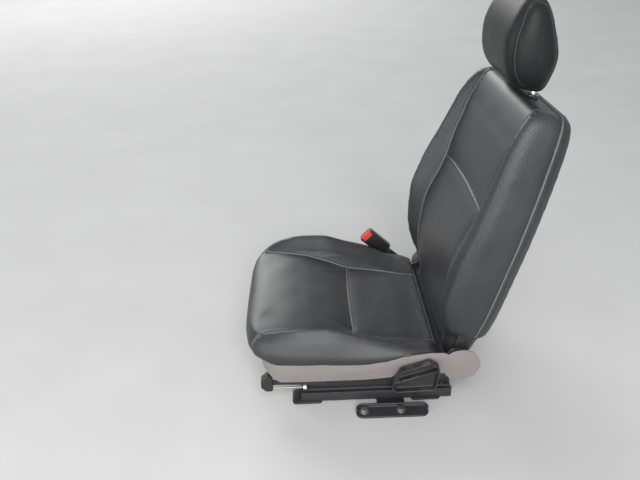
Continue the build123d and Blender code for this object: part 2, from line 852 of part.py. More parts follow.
with BuildPart() as button:
    with BuildSketch(buckle_side(button_outer)):
        with Locations((buckle_mouth + (button_proud - button_seat) / 2, 0)):
            Rectangle(button_seat + button_proud, 2 * button_half)
    extrude(amount=-button_depth)
pieces["buckle_button"] = button.part

for name, piece in pieces.items():
    piece.label = name
    export_step(piece, f"parts/{name}.step")
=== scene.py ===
import json
from collections.abc import Callable
from dataclasses import dataclass
from math import cos, pi, radians, sin

import bmesh
import bpy
import numpy as np
from mathutils import Matrix, Vector
from mathutils.bvhtree import BVHTree


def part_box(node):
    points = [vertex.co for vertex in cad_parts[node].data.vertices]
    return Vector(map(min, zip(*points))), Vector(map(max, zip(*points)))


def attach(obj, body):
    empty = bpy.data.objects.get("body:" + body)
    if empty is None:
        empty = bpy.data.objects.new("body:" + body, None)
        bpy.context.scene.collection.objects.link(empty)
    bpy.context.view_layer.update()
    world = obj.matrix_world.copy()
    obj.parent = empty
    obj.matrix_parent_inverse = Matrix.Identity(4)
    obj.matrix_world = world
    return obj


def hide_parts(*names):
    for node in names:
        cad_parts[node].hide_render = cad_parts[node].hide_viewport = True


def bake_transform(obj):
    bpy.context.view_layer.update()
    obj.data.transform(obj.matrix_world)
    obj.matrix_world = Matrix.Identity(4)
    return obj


# Front passenger seat of an ambulance cab: vinyl pads, plastic trim and steel on slide rails.
# +X is outboard, the seat faces -Y and +Z is up. Lengths written as 12 * MM are millimetres.
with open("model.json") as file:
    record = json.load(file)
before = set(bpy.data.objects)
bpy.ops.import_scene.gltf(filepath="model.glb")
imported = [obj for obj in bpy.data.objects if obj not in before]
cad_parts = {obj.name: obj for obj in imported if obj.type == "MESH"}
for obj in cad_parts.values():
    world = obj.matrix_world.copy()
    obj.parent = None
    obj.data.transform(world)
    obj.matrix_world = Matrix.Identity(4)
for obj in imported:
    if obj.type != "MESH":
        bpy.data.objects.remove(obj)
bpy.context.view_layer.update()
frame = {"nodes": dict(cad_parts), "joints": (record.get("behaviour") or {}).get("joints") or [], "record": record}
nodes = frame["nodes"]
scene = bpy.context.scene

MM = 0.001
joints = {joint["name"]: joint for joint in frame["joints"]}
PIVOT = Vector(joints["backrest_recline"]["pos_m"])
BACK_UP = Vector(joints["headrest_height"]["axis"]).normalized()
BACK_FORWARD = BACK_UP.cross(Vector((-1, 0, 0)))
SIDES = {"outboard": 1, "inboard": -1}
BODY_OF = {node: body for body, members in frame["record"]["behaviour"]["bodies"].items() for node in members}
SLOT_OF = {part["node"]: part["material_slot"] for part in frame["record"]["subparts"]}


def on_back(x, along, ahead):
    """Point given in millimetres: across, up along the backrest and ahead of its hinge line."""
    return PIVOT + (Vector((x, 0, 0)) + BACK_UP * along + BACK_FORWARD * ahead) * MM


def on_seat(x, y, z):
    """Point given in millimetres in the seat's own frame."""
    return Vector((x, y, z)) * MM


# Mesh tools

def select_only(obj):
    bpy.ops.object.select_all(action="DESELECT")
    obj.select_set(True)
    bpy.context.view_layer.objects.active = obj


def finish_with(obj, kind, **values):
    """Add one modifier with these values and apply it."""
    modifier = obj.modifiers.new(kind.title(), kind)
    for name, value in values.items():
        setattr(modifier, name, value)
    select_only(obj)
    bpy.ops.object.modifier_apply(modifier=modifier.name)


def settle(obj):
    """Put the object's place into its mesh, so that the object is at the origin, unturned."""
    select_only(obj)
    bpy.ops.object.transform_apply(location=True, rotation=True, scale=True)
    return obj


def smooth_faces(obj, angle=35):
    select_only(obj)
    bpy.ops.object.shade_smooth_by_angle(angle=radians(angle))


def edit_all(obj):
    """Open the mesh for editing, with all of it selected."""
    select_only(obj)
    bpy.ops.object.mode_set(mode="EDIT")
    bpy.ops.mesh.select_all(action="SELECT")


def face_outward(obj):
    edit_all(obj)
    bpy.ops.mesh.normals_make_consistent(inside=False)
    bpy.ops.object.mode_set(mode="OBJECT")
    return obj


def mesh_object(name, points, faces):
    mesh = bpy.data.meshes.new(name)
    mesh.from_pydata([tuple(point) for point in points], [], faces)
    obj = bpy.data.objects.new(name, mesh)
    scene.collection.objects.link(obj)
    return obj


def vertex_rows(obj, key):
    """One row of three numbers for each point of the mesh, its place or its normal."""
    flat = np.empty(len(obj.data.vertices) * 3, np.float32)
    obj.data.vertices.foreach_get(key, flat)
    return flat.reshape(-1, 3).astype(float)


def get_points(obj):
    return vertex_rows(obj, "co")


def get_normals(obj):
    return vertex_rows(obj, "normal")


def set_points(obj, points):
    obj.data.vertices.foreach_set("co", points.astype(np.float32).ravel())
    obj.data.update()


def push_out(obj, distances):
    """Move each point along its normal, by its own distance."""
    set_points(obj, get_points(obj) + get_normals(obj) * distances[:, None])


def dress(obj, node_or_body, slot=None, material=None, replaced=()):
    """Give a finished piece its body, slot and material, and the CAD nodes that it stands for."""
    slot = slot or SLOT_OF[node_or_body]
    obj.data.materials.clear()
    obj.data.materials.append(material or MATERIAL_OF_SLOT[slot])
    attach(obj, BODY_OF.get(node_or_body, node_or_body))
    if replaced:
        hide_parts(*replaced)
    return obj


# Material tools

def add_node(tree, kind, inputs=None, **settings):
    """Add a shader node. Inputs get values or sockets to link from, and a colour is red, green and blue."""
    made = tree.nodes.new(kind)
    for name, value in settings.items():
        setattr(made, name, value)
    for key, value in (inputs or {}).items():
        socket = made.inputs[key]
        if isinstance(value, bpy.types.NodeSocket):
            tree.links.new(value, socket)
        else:
            socket.default_value = (*value, 1) if socket.type == "RGBA" else value
    return made


def new_group(name, measures, outputs):
    """Start a node group with a vector and float inputs. Returns its tree, its inputs and its outputs."""
    tree = bpy.data.node_groups.new(name, "ShaderNodeTree")
    tree.interface.new_socket("Vector", in_out="INPUT", socket_type="NodeSocketVector")
    for in_out, socket_names in (("INPUT", measures), ("OUTPUT", outputs)):
        for socket_name in socket_names:
            tree.interface.new_socket(socket_name, in_out=in_out, socket_type="NodeSocketFloat")
    return tree, tree.nodes.new("NodeGroupInput").outputs, tree.nodes.new("NodeGroupOutput").inputs


def use_group(tree, group, inputs):
    return add_node(tree, "ShaderNodeGroup", inputs, node_tree=group).outputs


def math(tree, operation, a, b=0.0, clamp=False):
    return add_node(tree, "ShaderNodeMath", {0: a, 1: b}, operation=operation, use_clamp=clamp).outputs[0]


def ramp(tree, value, low, high, to_low=0.0, to_high=1.0):
    inputs = {"Value": value, "From Min": low, "From Max": high, "To Min": to_low, "To Max": to_high}
    return add_node(tree, "ShaderNodeMapRange", inputs).outputs["Result"]


def mix_colour(tree, factor, first, second):
    inputs = {"Factor": factor, 6: first, 7: second}
    return add_node(tree, "ShaderNodeMix", inputs, data_type="RGBA").outputs[2]


def tint(tree, colour, mask, share, over):
    """Lay a second colour over the first where the mask is, up to a share."""
    return mix_colour(tree, math(tree, "MULTIPLY", mask, share), colour, over)


def vector_math(tree, operation, inputs, output="Vector"):
    return add_node(tree, "ShaderNodeVectorMath", inputs, operation=operation).outputs[output]


def speckle(tree, place, scale, detail):
    inputs = {"Vector": place, "Scale": scale, "Detail": detail}
    return add_node(tree, "ShaderNodeTexNoise", inputs).outputs["Fac"]


DOT_PITCH = 4.6 * MM


def vinyl_grain_group():
    """Fine pebbled grain of vinyl: height of the pebbles and a slow change of tone."""
    tree, given, made = new_group("vinyl_grain", ["Pebble Scale"], ["Height", "Tone"])
    voronoi = {"Vector": given["Vector"], "Scale": given["Pebble Scale"], "Randomness": 0.9}
    cells = add_node(tree, "ShaderNodeTexVoronoi", voronoi, feature="SMOOTH_F1")
    pebbles = math(tree, "SUBTRACT", 0.7, cells.outputs["Distance"])
    fine = math(tree, "MULTIPLY", speckle(tree, given["Vector"], 900.0, 2.0), 0.35)
    tree.links.new(math(tree, "ADD", pebbles, fine), made["Height"])
    tree.links.new(speckle(tree, given["Vector"], 9.0, 3.0), made["Tone"])
    return tree


def dots_group():
    """Rows of small embossed dots, set on the diagonal of the cover's own UV map."""
    tree, given, made = new_group("embossed_dots", ["Pitch"], ["Height"])
    turn = {"Vector": given["Vector"], "Angle": radians(38)}
    turned = add_node(tree, "ShaderNodeVectorRotate", turn, rotation_type="Z_AXIS").outputs["Vector"]
    per_pitch = math(tree, "DIVIDE", 1.0, given["Pitch"])
    cell = vector_math(tree, "FRACTION", {0: vector_math(tree, "SCALE", {0: turned, "Scale": per_pitch})})
    centred = vector_math(tree, "SUBTRACT", {0: cell, 1: (0.5, 0.5, 0.0)})
    reach = vector_math(tree, "LENGTH", {0: centred}, "Value")
    tree.links.new(ramp(tree, reach, 0.16, 0.42, 1.0, 0.0), made["Height"])
    return tree


def edge_group():
    """Mask that is 1 along edges and at corners, broken up by noise, for rubbed edges and, on the black plastic, a
    painted highlight along them.
    """
    tree, given, made = new_group("edge_rub_and_highlight", ["Radius"], ["Mask"])
    rounded = add_node(tree, "ShaderNodeBevel", {"Radius": given["Radius"]}, samples=4).outputs["Normal"]
    plain = add_node(tree, "ShaderNodeNewGeometry").outputs["Normal"]
    facing = vector_math(tree, "DOT_PRODUCT", {0: rounded, 1: plain}, "Value")
    broken = ramp(tree, speckle(tree, given["Vector"], 160.0, 4.0), 0.42, 0.62)
    tree.links.new(math(tree, "MULTIPLY", ramp(tree, facing, 0.99, 0.86), broken), made["Mask"])
    return tree


def dust_group():
    """Mask of fine dust that lies on faces that look up."""
    tree, given, made = new_group("lying_dust", [], ["Mask"])
    normal = add_node(tree, "ShaderNodeNewGeometry").outputs["Normal"]
    upward = ramp(tree, add_node(tree, "ShaderNodeSeparateXYZ", {0: normal}).outputs["Z"], 0.2, 1.0)
    patches = ramp(tree, speckle(tree, given["Vector"], 35.0, 6.0), 0.4, 0.75)
    tree.links.new(math(tree, "MULTIPLY", upward, patches), made["Mask"])
    return tree


def texture_group():
    """Spark-eroded texture of moulded plastic, and the speckle of a sprayed coat."""
    tree, given, made = new_group("moulded_texture", ["Grain Scale"], ["Height", "Tone"])
    tree.links.new(speckle(tree, given["Vector"], given["Grain Scale"], 3.0), made["Height"])
    tree.links.new(speckle(tree, given["Vector"], 14.0, 4.0), made["Tone"])
    return tree


GRAIN = vinyl_grain_group()
DOTS = dots_group()
EDGES = edge_group()
DUST = dust_group()
TEXTURE = texture_group()


def start_material(name, **constants):
    """New material with a Principled shader whose constants sit on its own sockets."""
    material = bpy.data.materials.new(name)
    material.use_nodes = True
    tree = material.node_tree
    shader = tree.nodes["Principled BSDF"]
    for key, value in constants.items():
        shader.inputs[key.replace("_", " ")].default_value = value
    place = add_node(tree, "ShaderNodeTexCoord").outputs["Object"]
    return material, tree, shader, place


def finish_surface(tree, shader, colour, rough, height, strength, distance):
    """Link a material's colour, its roughness and its bump."""
    tree.links.new(colour, shader.inputs["Base Color"])
    tree.links.new(rough, shader.inputs["Roughness"])
    relief = add_node(tree, "ShaderNodeBump", {"Height": height, "Strength": strength, "Distance": distance})
    tree.links.new(relief.outputs["Normal"], shader.inputs["Normal"])


def vinyl_material(name, gloss, dark, light, fold_highlight_share):
    """Black satin vinyl: fine grain, embossed dots where the cover has them, a painted highlight on the folds
    beside seams and painted shade in their creases.
    """
    material, tree, shader, place = start_material(name, IOR=1.5, Specular_IOR_Level=gloss)
    grain = use_group(tree, GRAIN, {"Vector": place, "Pebble Scale": 620.0})
    cover = add_node(tree, "ShaderNodeUVMap", uv_map="cover").outputs["UV"]
    dots = use_group(tree, DOTS, {"Vector": cover, "Pitch": DOT_PITCH})["Height"]
    dotted, crease, fold = [
        add_node(tree, "ShaderNodeAttribute", attribute_name=mark).outputs["Fac"]
        for mark in ("dotted", "crease", "fold")
    ]
    colour = mix_colour(tree, ramp(tree, grain["Tone"], 0.3, 0.7), dark, light)
    dusty = use_group(tree, DUST, {"Vector": place})["Mask"]
    colour = tint(tree, colour, dusty, 0.07, (0.16, 0.155, 0.145))
    # Painted highlight: the folds beside the seams are lightened, as if they caught the light
    colour = tint(tree, colour, fold, fold_highlight_share, (0.17, 0.172, 0.175))
    # Painted shade: the seams' creases are darkened
    colour = tint(tree, colour, crease, 0.5, (0.006, 0.006, 0.007))
    raised = math(tree, "MULTIPLY", dots, dotted)
    satin = ramp(tree, grain["Tone"], 0.2, 0.8, 0.41, 0.49)
    rough = math(tree, "ADD", satin, math(tree, "MULTIPLY", raised, -0.1))
    height = math(tree, "ADD", math(tree, "MULTIPLY", grain["Height"], 0.2), raised)
    finish_surface(tree, shader, colour, rough, height, 0.6, 0.5 * MM)
    return material


def textured(tree, place, grain_scale, dark, light, edge_radius):
    """Texture, colour and rubbed edges, which moulded plastic and coated metal both start from."""
    texture = use_group(tree, TEXTURE, {"Vector": place, "Grain Scale": grain_scale})
    colour = mix_colour(tree, ramp(tree, texture["Tone"], 0.3, 0.7), dark, light)
    return texture, colour, use_group(tree, EDGES, {"Vector": place, "Radius": edge_radius})["Mask"]


def plastic_material(name, dark, light, roughness, grain_scale, depth, worn=(0.4, 0.4, 0.4), rub_and_highlight=0.2):
    """Moulded plastic with a fine texture, slow change of tone, paler rubbed edges, which on the black plastic are
    also a painted highlight, and a little dust.
    """
    material, tree, shader, place = start_material(name, IOR=1.49)
    texture, colour, edges = textured(tree, place, grain_scale, dark, light, 1.2 * MM)
    # Paler edges: rubbed wear, and where the share is raised also a painted highlight
    colour = tint(tree, colour, edges, rub_and_highlight, worn)
    dusty = use_group(tree, DUST, {"Vector": place})["Mask"]
    colour = tint(tree, colour, dusty, 0.12, (0.3, 0.29, 0.27))
    rough = ramp(tree, texture["Tone"], 0.2, 0.8, roughness - 0.05, roughness + 0.07)
    finish_surface(tree, shader, colour, rough, texture["Height"], depth, 0.3 * MM)
    return material


def metal_material(name, dark, light, roughness, metallic, grain_scale=700.0, depth=0.15):
    """Coated, plated or polished steel with brighter metal where its edges are rubbed."""
    material, tree, shader, place = start_material(name)
    texture, colour, edges = textured(tree, place, grain_scale, dark, light, 0.9 * MM)
    colour = tint(tree, colour, edges, 0.45, (0.35, 0.34, 0.33))
    bare = math(tree, "MULTIPLY", edges, 0.5)
    tree.links.new(math(tree, "ADD", bare, metallic, clamp=True), shader.inputs["Metallic"])
    rough = ramp(tree, texture["Tone"], 0.2, 0.8, roughness - 0.06, roughness + 0.08)
    finish_surface(tree, shader, colour, rough, texture["Height"], depth, 0.2 * MM)
    return material


# Vinyl: gloss, darker and lighter tone, and the share of the painted highlight on its folds
VINYL = vinyl_material("vinyl", 0.54, (0.017, 0.0175, 0.019), (0.024, 0.025, 0.027), 0.85)
# Painted shade: the headrest gets a darker, less glossy copy of the vinyl, with a weaker painted highlight on its
# folds
SHADED_HEADREST_VINYL = vinyl_material("shaded_headrest_vinyl", 0.2, (0.009, 0.0093, 0.01), (0.013, 0.0133, 0.014), 0.3)
# Plastic: darker and lighter tone, roughness, scale and depth of its texture
THREAD = plastic_material("thread", (0.03, 0.031, 0.033), (0.05, 0.05, 0.052), 0.7, 2600.0, 0.5)
SKIRT = plastic_material("skirt_plastic", (0.175, 0.156, 0.152), (0.197, 0.176, 0.172), 0.44, 1500.0, 0.2)
# Its pale edges are partly rubbed wear and partly a painted highlight along the rims of the lever, knob and buckle
BLACK = plastic_material(
    "black_plastic", (0.012, 0.012, 0.013), (0.02, 0.02, 0.021), 0.2, 1500.0, 0.08, rub_and_highlight=0.38
)
BOARD = plastic_material("board_plastic", (0.036, 0.037, 0.04), (0.05, 0.051, 0.054), 0.55, 800.0, 0.5)
RED = plastic_material(
    "red_plastic", (0.5, 0.04, 0.033), (0.58, 0.052, 0.042), 0.32, 1500.0, 0.1, worn=(0.8, 0.3, 0.25)
)
NYLON = plastic_material("nylon", (0.78, 0.77, 0.73), (0.86, 0.85, 0.81), 0.4, 1500.0, 0.1)
# Metal: darker and lighter tone, roughness and how metallic it is
STEEL = metal_material("black_steel", (0.022, 0.022, 0.024), (0.034, 0.034, 0.036), 0.4, 0.2)
ZINC = metal_material("plated_steel", (0.26, 0.255, 0.24), (0.36, 0.35, 0.33), 0.38, 0.9)
CHROME = metal_material("bright_steel", (0.52, 0.52, 0.53), (0.6, 0.6, 0.61), 0.2, 1.0, 500.0, 0.03)

MATERIAL_OF_SLOT = dict(
    vinyl=VINYL, skirt_plastic=SKIRT, black_plastic=BLACK, board_plastic=BOARD, red_plastic=RED, nylon=NYLON,
    black_steel=STEEL, plated_steel=ZINC, bright_steel=CHROME,
)


# Pads: a smooth body lofted through the sections, remeshed, swelled by cloth, then sewn

def smooth_rows(table, step):
    """Rows of a table at even steps of its first column, with no overshoot between the given rows."""
    rows = np.array(table, float)
    places = rows[:, 0]
    slopes = np.diff(rows, axis=0) / np.diff(places)[:, None]
    before, after = slopes[:-1], slopes[1:]
    inner = np.where(before * after > 0, 2 * before * after / (before + after + 1e-12), 0)
    tangents = np.vstack([slopes[:1], inner, slopes[-1:]])
    wanted = np.linspace(places[0], places[-1], int(round((places[-1] - places[0]) / step)) + 1)
    index = np.clip(np.searchsorted(places, wanted, side="right") - 1, 0, len(places) - 2)
    span = (places[index + 1] - places[index])[:, None]
    t = ((wanted - places[index])[:, None]) / span
    start, end = rows[index], rows[index + 1]
    return (
        (2 * t**3 - 3 * t**2 + 1) * start
        + (t**3 - 2 * t**2 + t) * span * tangents[index]
        + (-2 * t**3 + 3 * t**2) * end
        + (t**3 - t**2) * span * tangents[index + 1]
    )


def outline_points(corners, counts):
    """Points along a run of straight sides, with a fixed count for each side."""
    made = []
    for (start, end), count in zip(zip(corners, corners[1:]), counts):
        for i in range(count):
            t = i / count
            made.append((start[0] + (end[0] - start[0]) * t, start[1] + (end[1] - start[1]) * t))
    return made + [corners[-1]]


def whole_ring(outboard, inboard=None):
    """Close a ring from its outboard half, which runs from the middle line back to it."""
    return outboard + [(-x, y) for x, y in reversed((inboard or outboard)[1:-1])]


def ring_faces(rings, count, start=0):
    """Faces between rings that all have this count of points."""
    faces = []
    for first in range(start, start + (rings - 1) * count, count):
        for i in range(count):
            a, b = first + i, first + (i + 1) % count
            faces.append((a, b, b + count, a + count))
    return faces


def lofted(name, places, sections, put):
    """Closed mesh with flat ends, through the section at each place. put turns both into a point."""
    count = len(sections[0])
    points = [put(x, place, y) for place, section in zip(places, sections) for x, y in section]
    faces = ring_faces(len(sections), count)
    faces.append(tuple(reversed(range(count))))
    faces.append(tuple(range(len(points) - count, len(points))))
    return face_outward(mesh_object(name, points, faces))


def remesh(obj, voxel):
    obj.data.remesh_voxel_size = voxel
    obj.data.remesh_voxel_adaptivity = 0
    select_only(obj)
    bpy.ops.object.voxel_remesh()


def soften(obj, weights, passes):
    """Smooth the mesh, as far as each point's weight lets it move."""
    group = obj.vertex_groups.new(name="soften")
    for index, weight in enumerate(weights):
        group.add([index], float(weight), "REPLACE")
    finish_with(obj, "SMOOTH", factor=0.5, iterations=passes, vertex_group="soften")
    obj.vertex_groups.clear()


def even_path(points, step):
    """Points of a smooth curve through the given ones, at even steps."""
    knots = [Vector(point) for point in points]
    padded = [knots[0] * 2 - knots[1], *knots, knots[-1] * 2 - knots[-2]]
    fine = []
    steps = 24
    for a, b, c, d in zip(padded, padded[1:], padded[2:], padded[3:]):
        slope, bend, twist = c - a, 2 * a - 5 * b + 4 * c - d, 3 * b - a - 3 * c + d
        for i in range(steps):
            t = i / steps
            fine.append(0.5 * ((2 * b) + slope * t + bend * t**2 + twist * t**3))
    fine.append(knots[-1])
    fine = np.array([tuple(point) for point in fine])
    lengths = np.concatenate([[0], np.cumsum(np.linalg.norm(np.diff(fine, axis=0), axis=1))])
    wanted = np.linspace(0, lengths[-1], max(2, int(lengths[-1] / step)))
    return np.stack([np.interp(wanted, lengths, fine[:, i]) for i in range(3)], axis=1)


# How often a seam's path is dropped onto its pad, and from how far, in millimetres
DROP_PASSES = 3
DROP_HEIGHT = 90


def drop_on(obj, path, aim_of):
    """Bring a path onto a piece along the aim of each of its points, and even out its small steps."""
    tree = BVHTree.FromObject(obj, bpy.context.evaluated_depsgraph_get())
    for _ in range(DROP_PASSES):
        for index, point in enumerate(path):
            aim = aim_of(Vector(point)).normalized()
            hit = tree.ray_cast(Vector(point) - aim * DROP_HEIGHT * MM, aim)[0]
            path[index] = hit or tree.find_nearest(Vector(point))[0]
        path[1:-1] = 0.25 * path[:-2] + 0.5 * path[1:-1] + 0.25 * path[2:]
    return path


@dataclass
class Seam:
    """
    A seam's path, how deep it pulls the pad in, how wide on its fold's side and on the other, which side
    that is, and how fast the depth grows from its ends.
    """
    path: np.ndarray
    depth: float
    widths: tuple
    side: Callable
    fade: float = 0


SEAM_STEP = 2 * MM


def run_seam(obj, points, aim_of, depth, widths, side, fade=0):
    """A seam through the given points, brought onto the piece. Depth and widths are in millimetres."""
    path = drop_on(obj, even_path(points, SEAM_STEP), aim_of)
    return Seam(path, depth * MM, (widths[0] * MM, widths[1] * MM), side, fade)


def outward(here, seam):
    return np.abs(here[:, 0]) - np.abs(seam[:, 0])


def behind(here, seam):
    return here[:, 1] - seam[:, 1]


def underneath(here, seam):
    return (seam - here) @ np.array(BACK_UP)


def rearward(here, seam):
    return (seam - here) @ np.array(BACK_FORWARD)


def grown(values, start, run):
    """0 up to the start and 1 from a run past it, both in millimetres, for values in metres."""
    return np.clip((values - start * MM) / (run * MM), 0, 1)


def bell(offset, width):
    return np.exp(-((offset / width) ** 2))


# Distance given to a point out of reach of a path, and how many points are measured in one go
FAR = 1.0
POINTS_AT_ONCE = 4000


def distance_to(points, path, reach):
    """Distance of each point to a path, exact only within the reach, and the nearest path place."""
    best = np.full(len(points), FAR)
    place = np.zeros(len(points), int)
    low, high = path.min(0) - reach, path.max(0) + reach
    near = np.nonzero(np.all((points > low) & (points < high), axis=1))[0]
    for start in range(0, len(near), POINTS_AT_ONCE):
        part = near[start:start + POINTS_AT_ONCE]
        gaps = np.linalg.norm(points[part][:, None, :] - path[None, :, :], axis=2)
        place[part] = gaps.argmin(axis=1)
        best[part] = gaps.min(axis=1)
    return best, place


def press_valleys(obj, seams):
    """Pull the surface in along the seams, in broad valleys."""
    points, normals = get_points(obj), get_normals(obj)
    moved = points.copy()
    for seam in seams:
        gap, place = distance_to(points, seam.path, 3 * max(seam.widths))
        width = np.where(seam.side(points, seam.path[place]) > 0, *seam.widths)
        share = np.clip(seam.fade * np.minimum(place, len(seam.path) - 1 - place), 0, 1) if seam.fade else 1
        moved -= normals * (share * seam.depth * bell(gap, width))[:, None]
    set_points(obj, moved)


# How a cover behaves when it is blown up, and for how many frames
COVER_CLOTH = dict(
    quality=4, mass=0.25, tension_stiffness=12, compression_stiffness=12, bending_stiffness=0.4,
    use_pressure=True, uniform_pressure_force=4.0, vertex_group_mass="held",
)
SWELL_FRAMES = 20


def swell(obj, held, limit):
    """Blow the cover up with cloth pressure. Held points stay, and no point moves further than the limit."""
    rest = get_points(obj)
    group = obj.vertex_groups.new(name="held")
    for index in np.nonzero(held > 0.02)[0]:
        group.add([int(index)], float(held[index]), "REPLACE")
    cloth = obj.modifiers.new("Cloth", "CLOTH")
    for name, value in COVER_CLOTH.items():
        setattr(cloth.settings, name, value)
    cloth.settings.effector_weights.gravity = 0
    cloth.collision_settings.use_collision = False
    cloth.point_cache.frame_start = 1
    cloth.point_cache.frame_end = SWELL_FRAMES
    for number in range(1, SWELL_FRAMES + 1):
        scene.frame_set(number)
    shift = get_points(obj.evaluated_get(bpy.context.evaluated_depsgraph_get())) - rest
    obj.modifiers.remove(cloth)
    scene.frame_set(1)
    length = np.linalg.norm(shift, axis=1) + 1e-9
    shift *= (limit * np.tanh(length / limit) / length)[:, None]
    set_points(obj, rest + shift)
    obj.vertex_groups.clear()


def refine_near(obj, seams, reach):
    """Halve the mesh near the seams."""
    points = get_points(obj)
    near = np.zeros(len(points), bool)
    for seam in seams:
        near |= distance_to(points, seam.path, 2 * reach)[0] < reach
    mesh = bmesh.new()
    mesh.from_mesh(obj.data)
    mesh.verts.ensure_lookup_table()
    chosen = [edge for edge in mesh.edges if near[edge.verts[0].index] and near[edge.verts[1].index]]
    bmesh.ops.subdivide_edges(mesh, edges=chosen, cuts=1, use_grid_fill=True)
    crowded = [face for face in mesh.faces if len(face.verts) > 4]
    bmesh.ops.triangulate(mesh, faces=crowded)
    mesh.to_mesh(obj.data)
    mesh.free()


# Across a seam: where its crease and the fold beside it lie, their half widths, and the depth and the rise
CREASE_AT, CREASE_HALF, CREASE_DEPTH = -0.5 * MM, 1.1 * MM, 2.2 * MM
FOLD_AT, FOLD_HALF, FOLD_RISE = 2.3 * MM, 1.35 * MM, 1.3 * MM
SEWN_REACH = 16 * MM


def sew(obj, seams):
    """Cut the narrow crease of each seam, with a low fold beside it, and return where both are."""
    points, normals = get_points(obj), get_normals(obj)
    moved = points.copy()
    crease, fold = np.zeros(len(points)), np.zeros(len(points))
    for seam in seams:
        gap, place = distance_to(points, seam.path, SEWN_REACH)
        offset = gap * np.sign(seam.side(points, seam.path[place]))
        cut, raised = bell(offset - CREASE_AT, CREASE_HALF), bell(offset - FOLD_AT, FOLD_HALF)
        moved += normals * (FOLD_RISE * raised - CREASE_DEPTH * cut)[:, None]
        crease, fold = np.maximum(crease, cut), np.maximum(fold, raised)
    set_points(obj, moved)
    return crease, fold


# Stitches: distance from the seam, and along each one its place, half thickness and height over the cover
STITCH_OFFSET = 5.2 * MM
STITCH_RINGS = (
    (-1.5 * MM, 0.12 * MM, -0.35 * MM), (-1.2 * MM, 0.34 * MM, 0.05 * MM), (-0.5 * MM, 0.42 * MM, 0.3 * MM),
    (0.5 * MM, 0.42 * MM, 0.3 * MM), (1.2 * MM, 0.34 * MM, 0.05 * MM), (1.5 * MM, 0.12 * MM, -0.35 * MM),
)
THREAD_SIDES = 6


def stitch(name, pad, seams, body):
    """A row of thread stitches beside each seam, on its fold's side, as one mesh."""
    tree = BVHTree.FromObject(pad, bpy.context.evaluated_depsgraph_get())
    points, faces = [], []
    for seam in seams:
        for middle in range(2, len(seam.path) - 2, 2):
            place = Vector(seam.path[middle])
            run = Vector(seam.path[middle + 1] - seam.path[middle - 1]).normalized()
            normal = tree.find_nearest(place)[1]
            across = run.cross(normal).normalized()
            if seam.side(np.array([place + across * MM]), np.array([place])) < 0:
                across = -across
            ground, normal, _, _ = tree.find_nearest(place + across * STITCH_OFFSET)
            faces += ring_faces(len(STITCH_RINGS), THREAD_SIDES, len(points))
            for step, width, lift in STITCH_RINGS:
                centre = ground + run * step + normal * lift
                for i in range(THREAD_SIDES):
                    angle = 2 * pi * i / THREAD_SIDES
                    points.append(centre + across * (width * cos(angle)) + normal * (width * sin(angle)))
    row = face_outward(mesh_object(name, points, faces))
    smooth_faces(row, 180)
    return dress(row, body, "vinyl", THREAD)


def store(obj, name, values):
    attribute = obj.data.attributes.new(name, "FLOAT", "POINT")
    attribute.data.foreach_set("value", values.astype(np.float32))


def store_cover(obj, local, places, sections):
    """UV map of the cover, in metres: across it round the section from its first point, and along the pad."""
    rings, starts = np.array(sections) * MM, places * MM
    runs = np.linalg.norm(np.diff(rings, axis=1), axis=2)
    lengths = np.concatenate([np.zeros((len(rings), 1)), np.cumsum(runs, axis=1)], axis=1)
    tangents = np.gradient(rings, axis=1)
    tangents /= np.linalg.norm(tangents, axis=2)[:, :, None] + 1e-9
    row = np.clip(np.searchsorted(starts, local[:, 1]), 0, len(starts) - 1)
    across = np.empty(len(local))
    for number in range(len(starts)):
        here = np.nonzero(row == number)[0]
        if len(here):
            gaps = local[here][:, None, [0, 2]] - rings[number][None, :, :]
            nearest = np.linalg.norm(gaps, axis=2).argmin(axis=1)
            offsets = gaps[np.arange(len(here)), nearest]
            across[here] = lengths[number, nearest] + (offsets * tangents[number, nearest]).sum(axis=1)
    layer = obj.data.uv_layers.new(name="cover")
    corners = np.empty(len(obj.data.loops), np.int32)
    obj.data.loops.foreach_get("vertex_index", corners)
    flat = np.stack([across[corners], local[corners, 1]], axis=1).astype(np.float32)
    layer.data.foreach_set("uv", flat.ravel())


def seam_half(seam, place, unit=1):
    """Distance of a side seam from the middle line at a place along it, read from the seam's rows."""
    rows = np.array(seam) * unit
    return np.interp(place, rows[:, 0], rows[:, 1])


def outside_seams(local, seam):
    """1 outside a pad's two side seams and 0 between them."""
    return grown(np.abs(local[:, 0]) - seam_half(seam, local[:, 1], MM), 0, 1)


def swung(points, amount, scale, seed, waves=7):
    """Slow uneven swing of a hand-fitted cover, from a few sine waves."""
    random = np.random.default_rng(seed)
    total = np.zeros(len(points))
    for _ in range(waves):
        direction = random.normal(size=3)
        direction *= 2 * pi / (scale * random.uniform(0.7, 1.6) * np.linalg.norm(direction))
        total += np.sin(points @ direction + random.uniform(0, 2 * pi))
    return amount * total / waves


# A pad starts a little thinner than its sections, and ends a little uneven
UNDERSIZE = 0.3 * MM
UNEVEN = 1.2 * MM
# Depth at which a seam is held fast, how far beside it the cover is held too, and the reach searched
GRIP_DEPTH, GRIP_HALF, GRIP_REACH = 9 * MM, 7 * MM, 40 * MM
# Distances from the seams within which the mesh is halved, and halved again
REFINED = (7 * MM, 4.5 * MM)


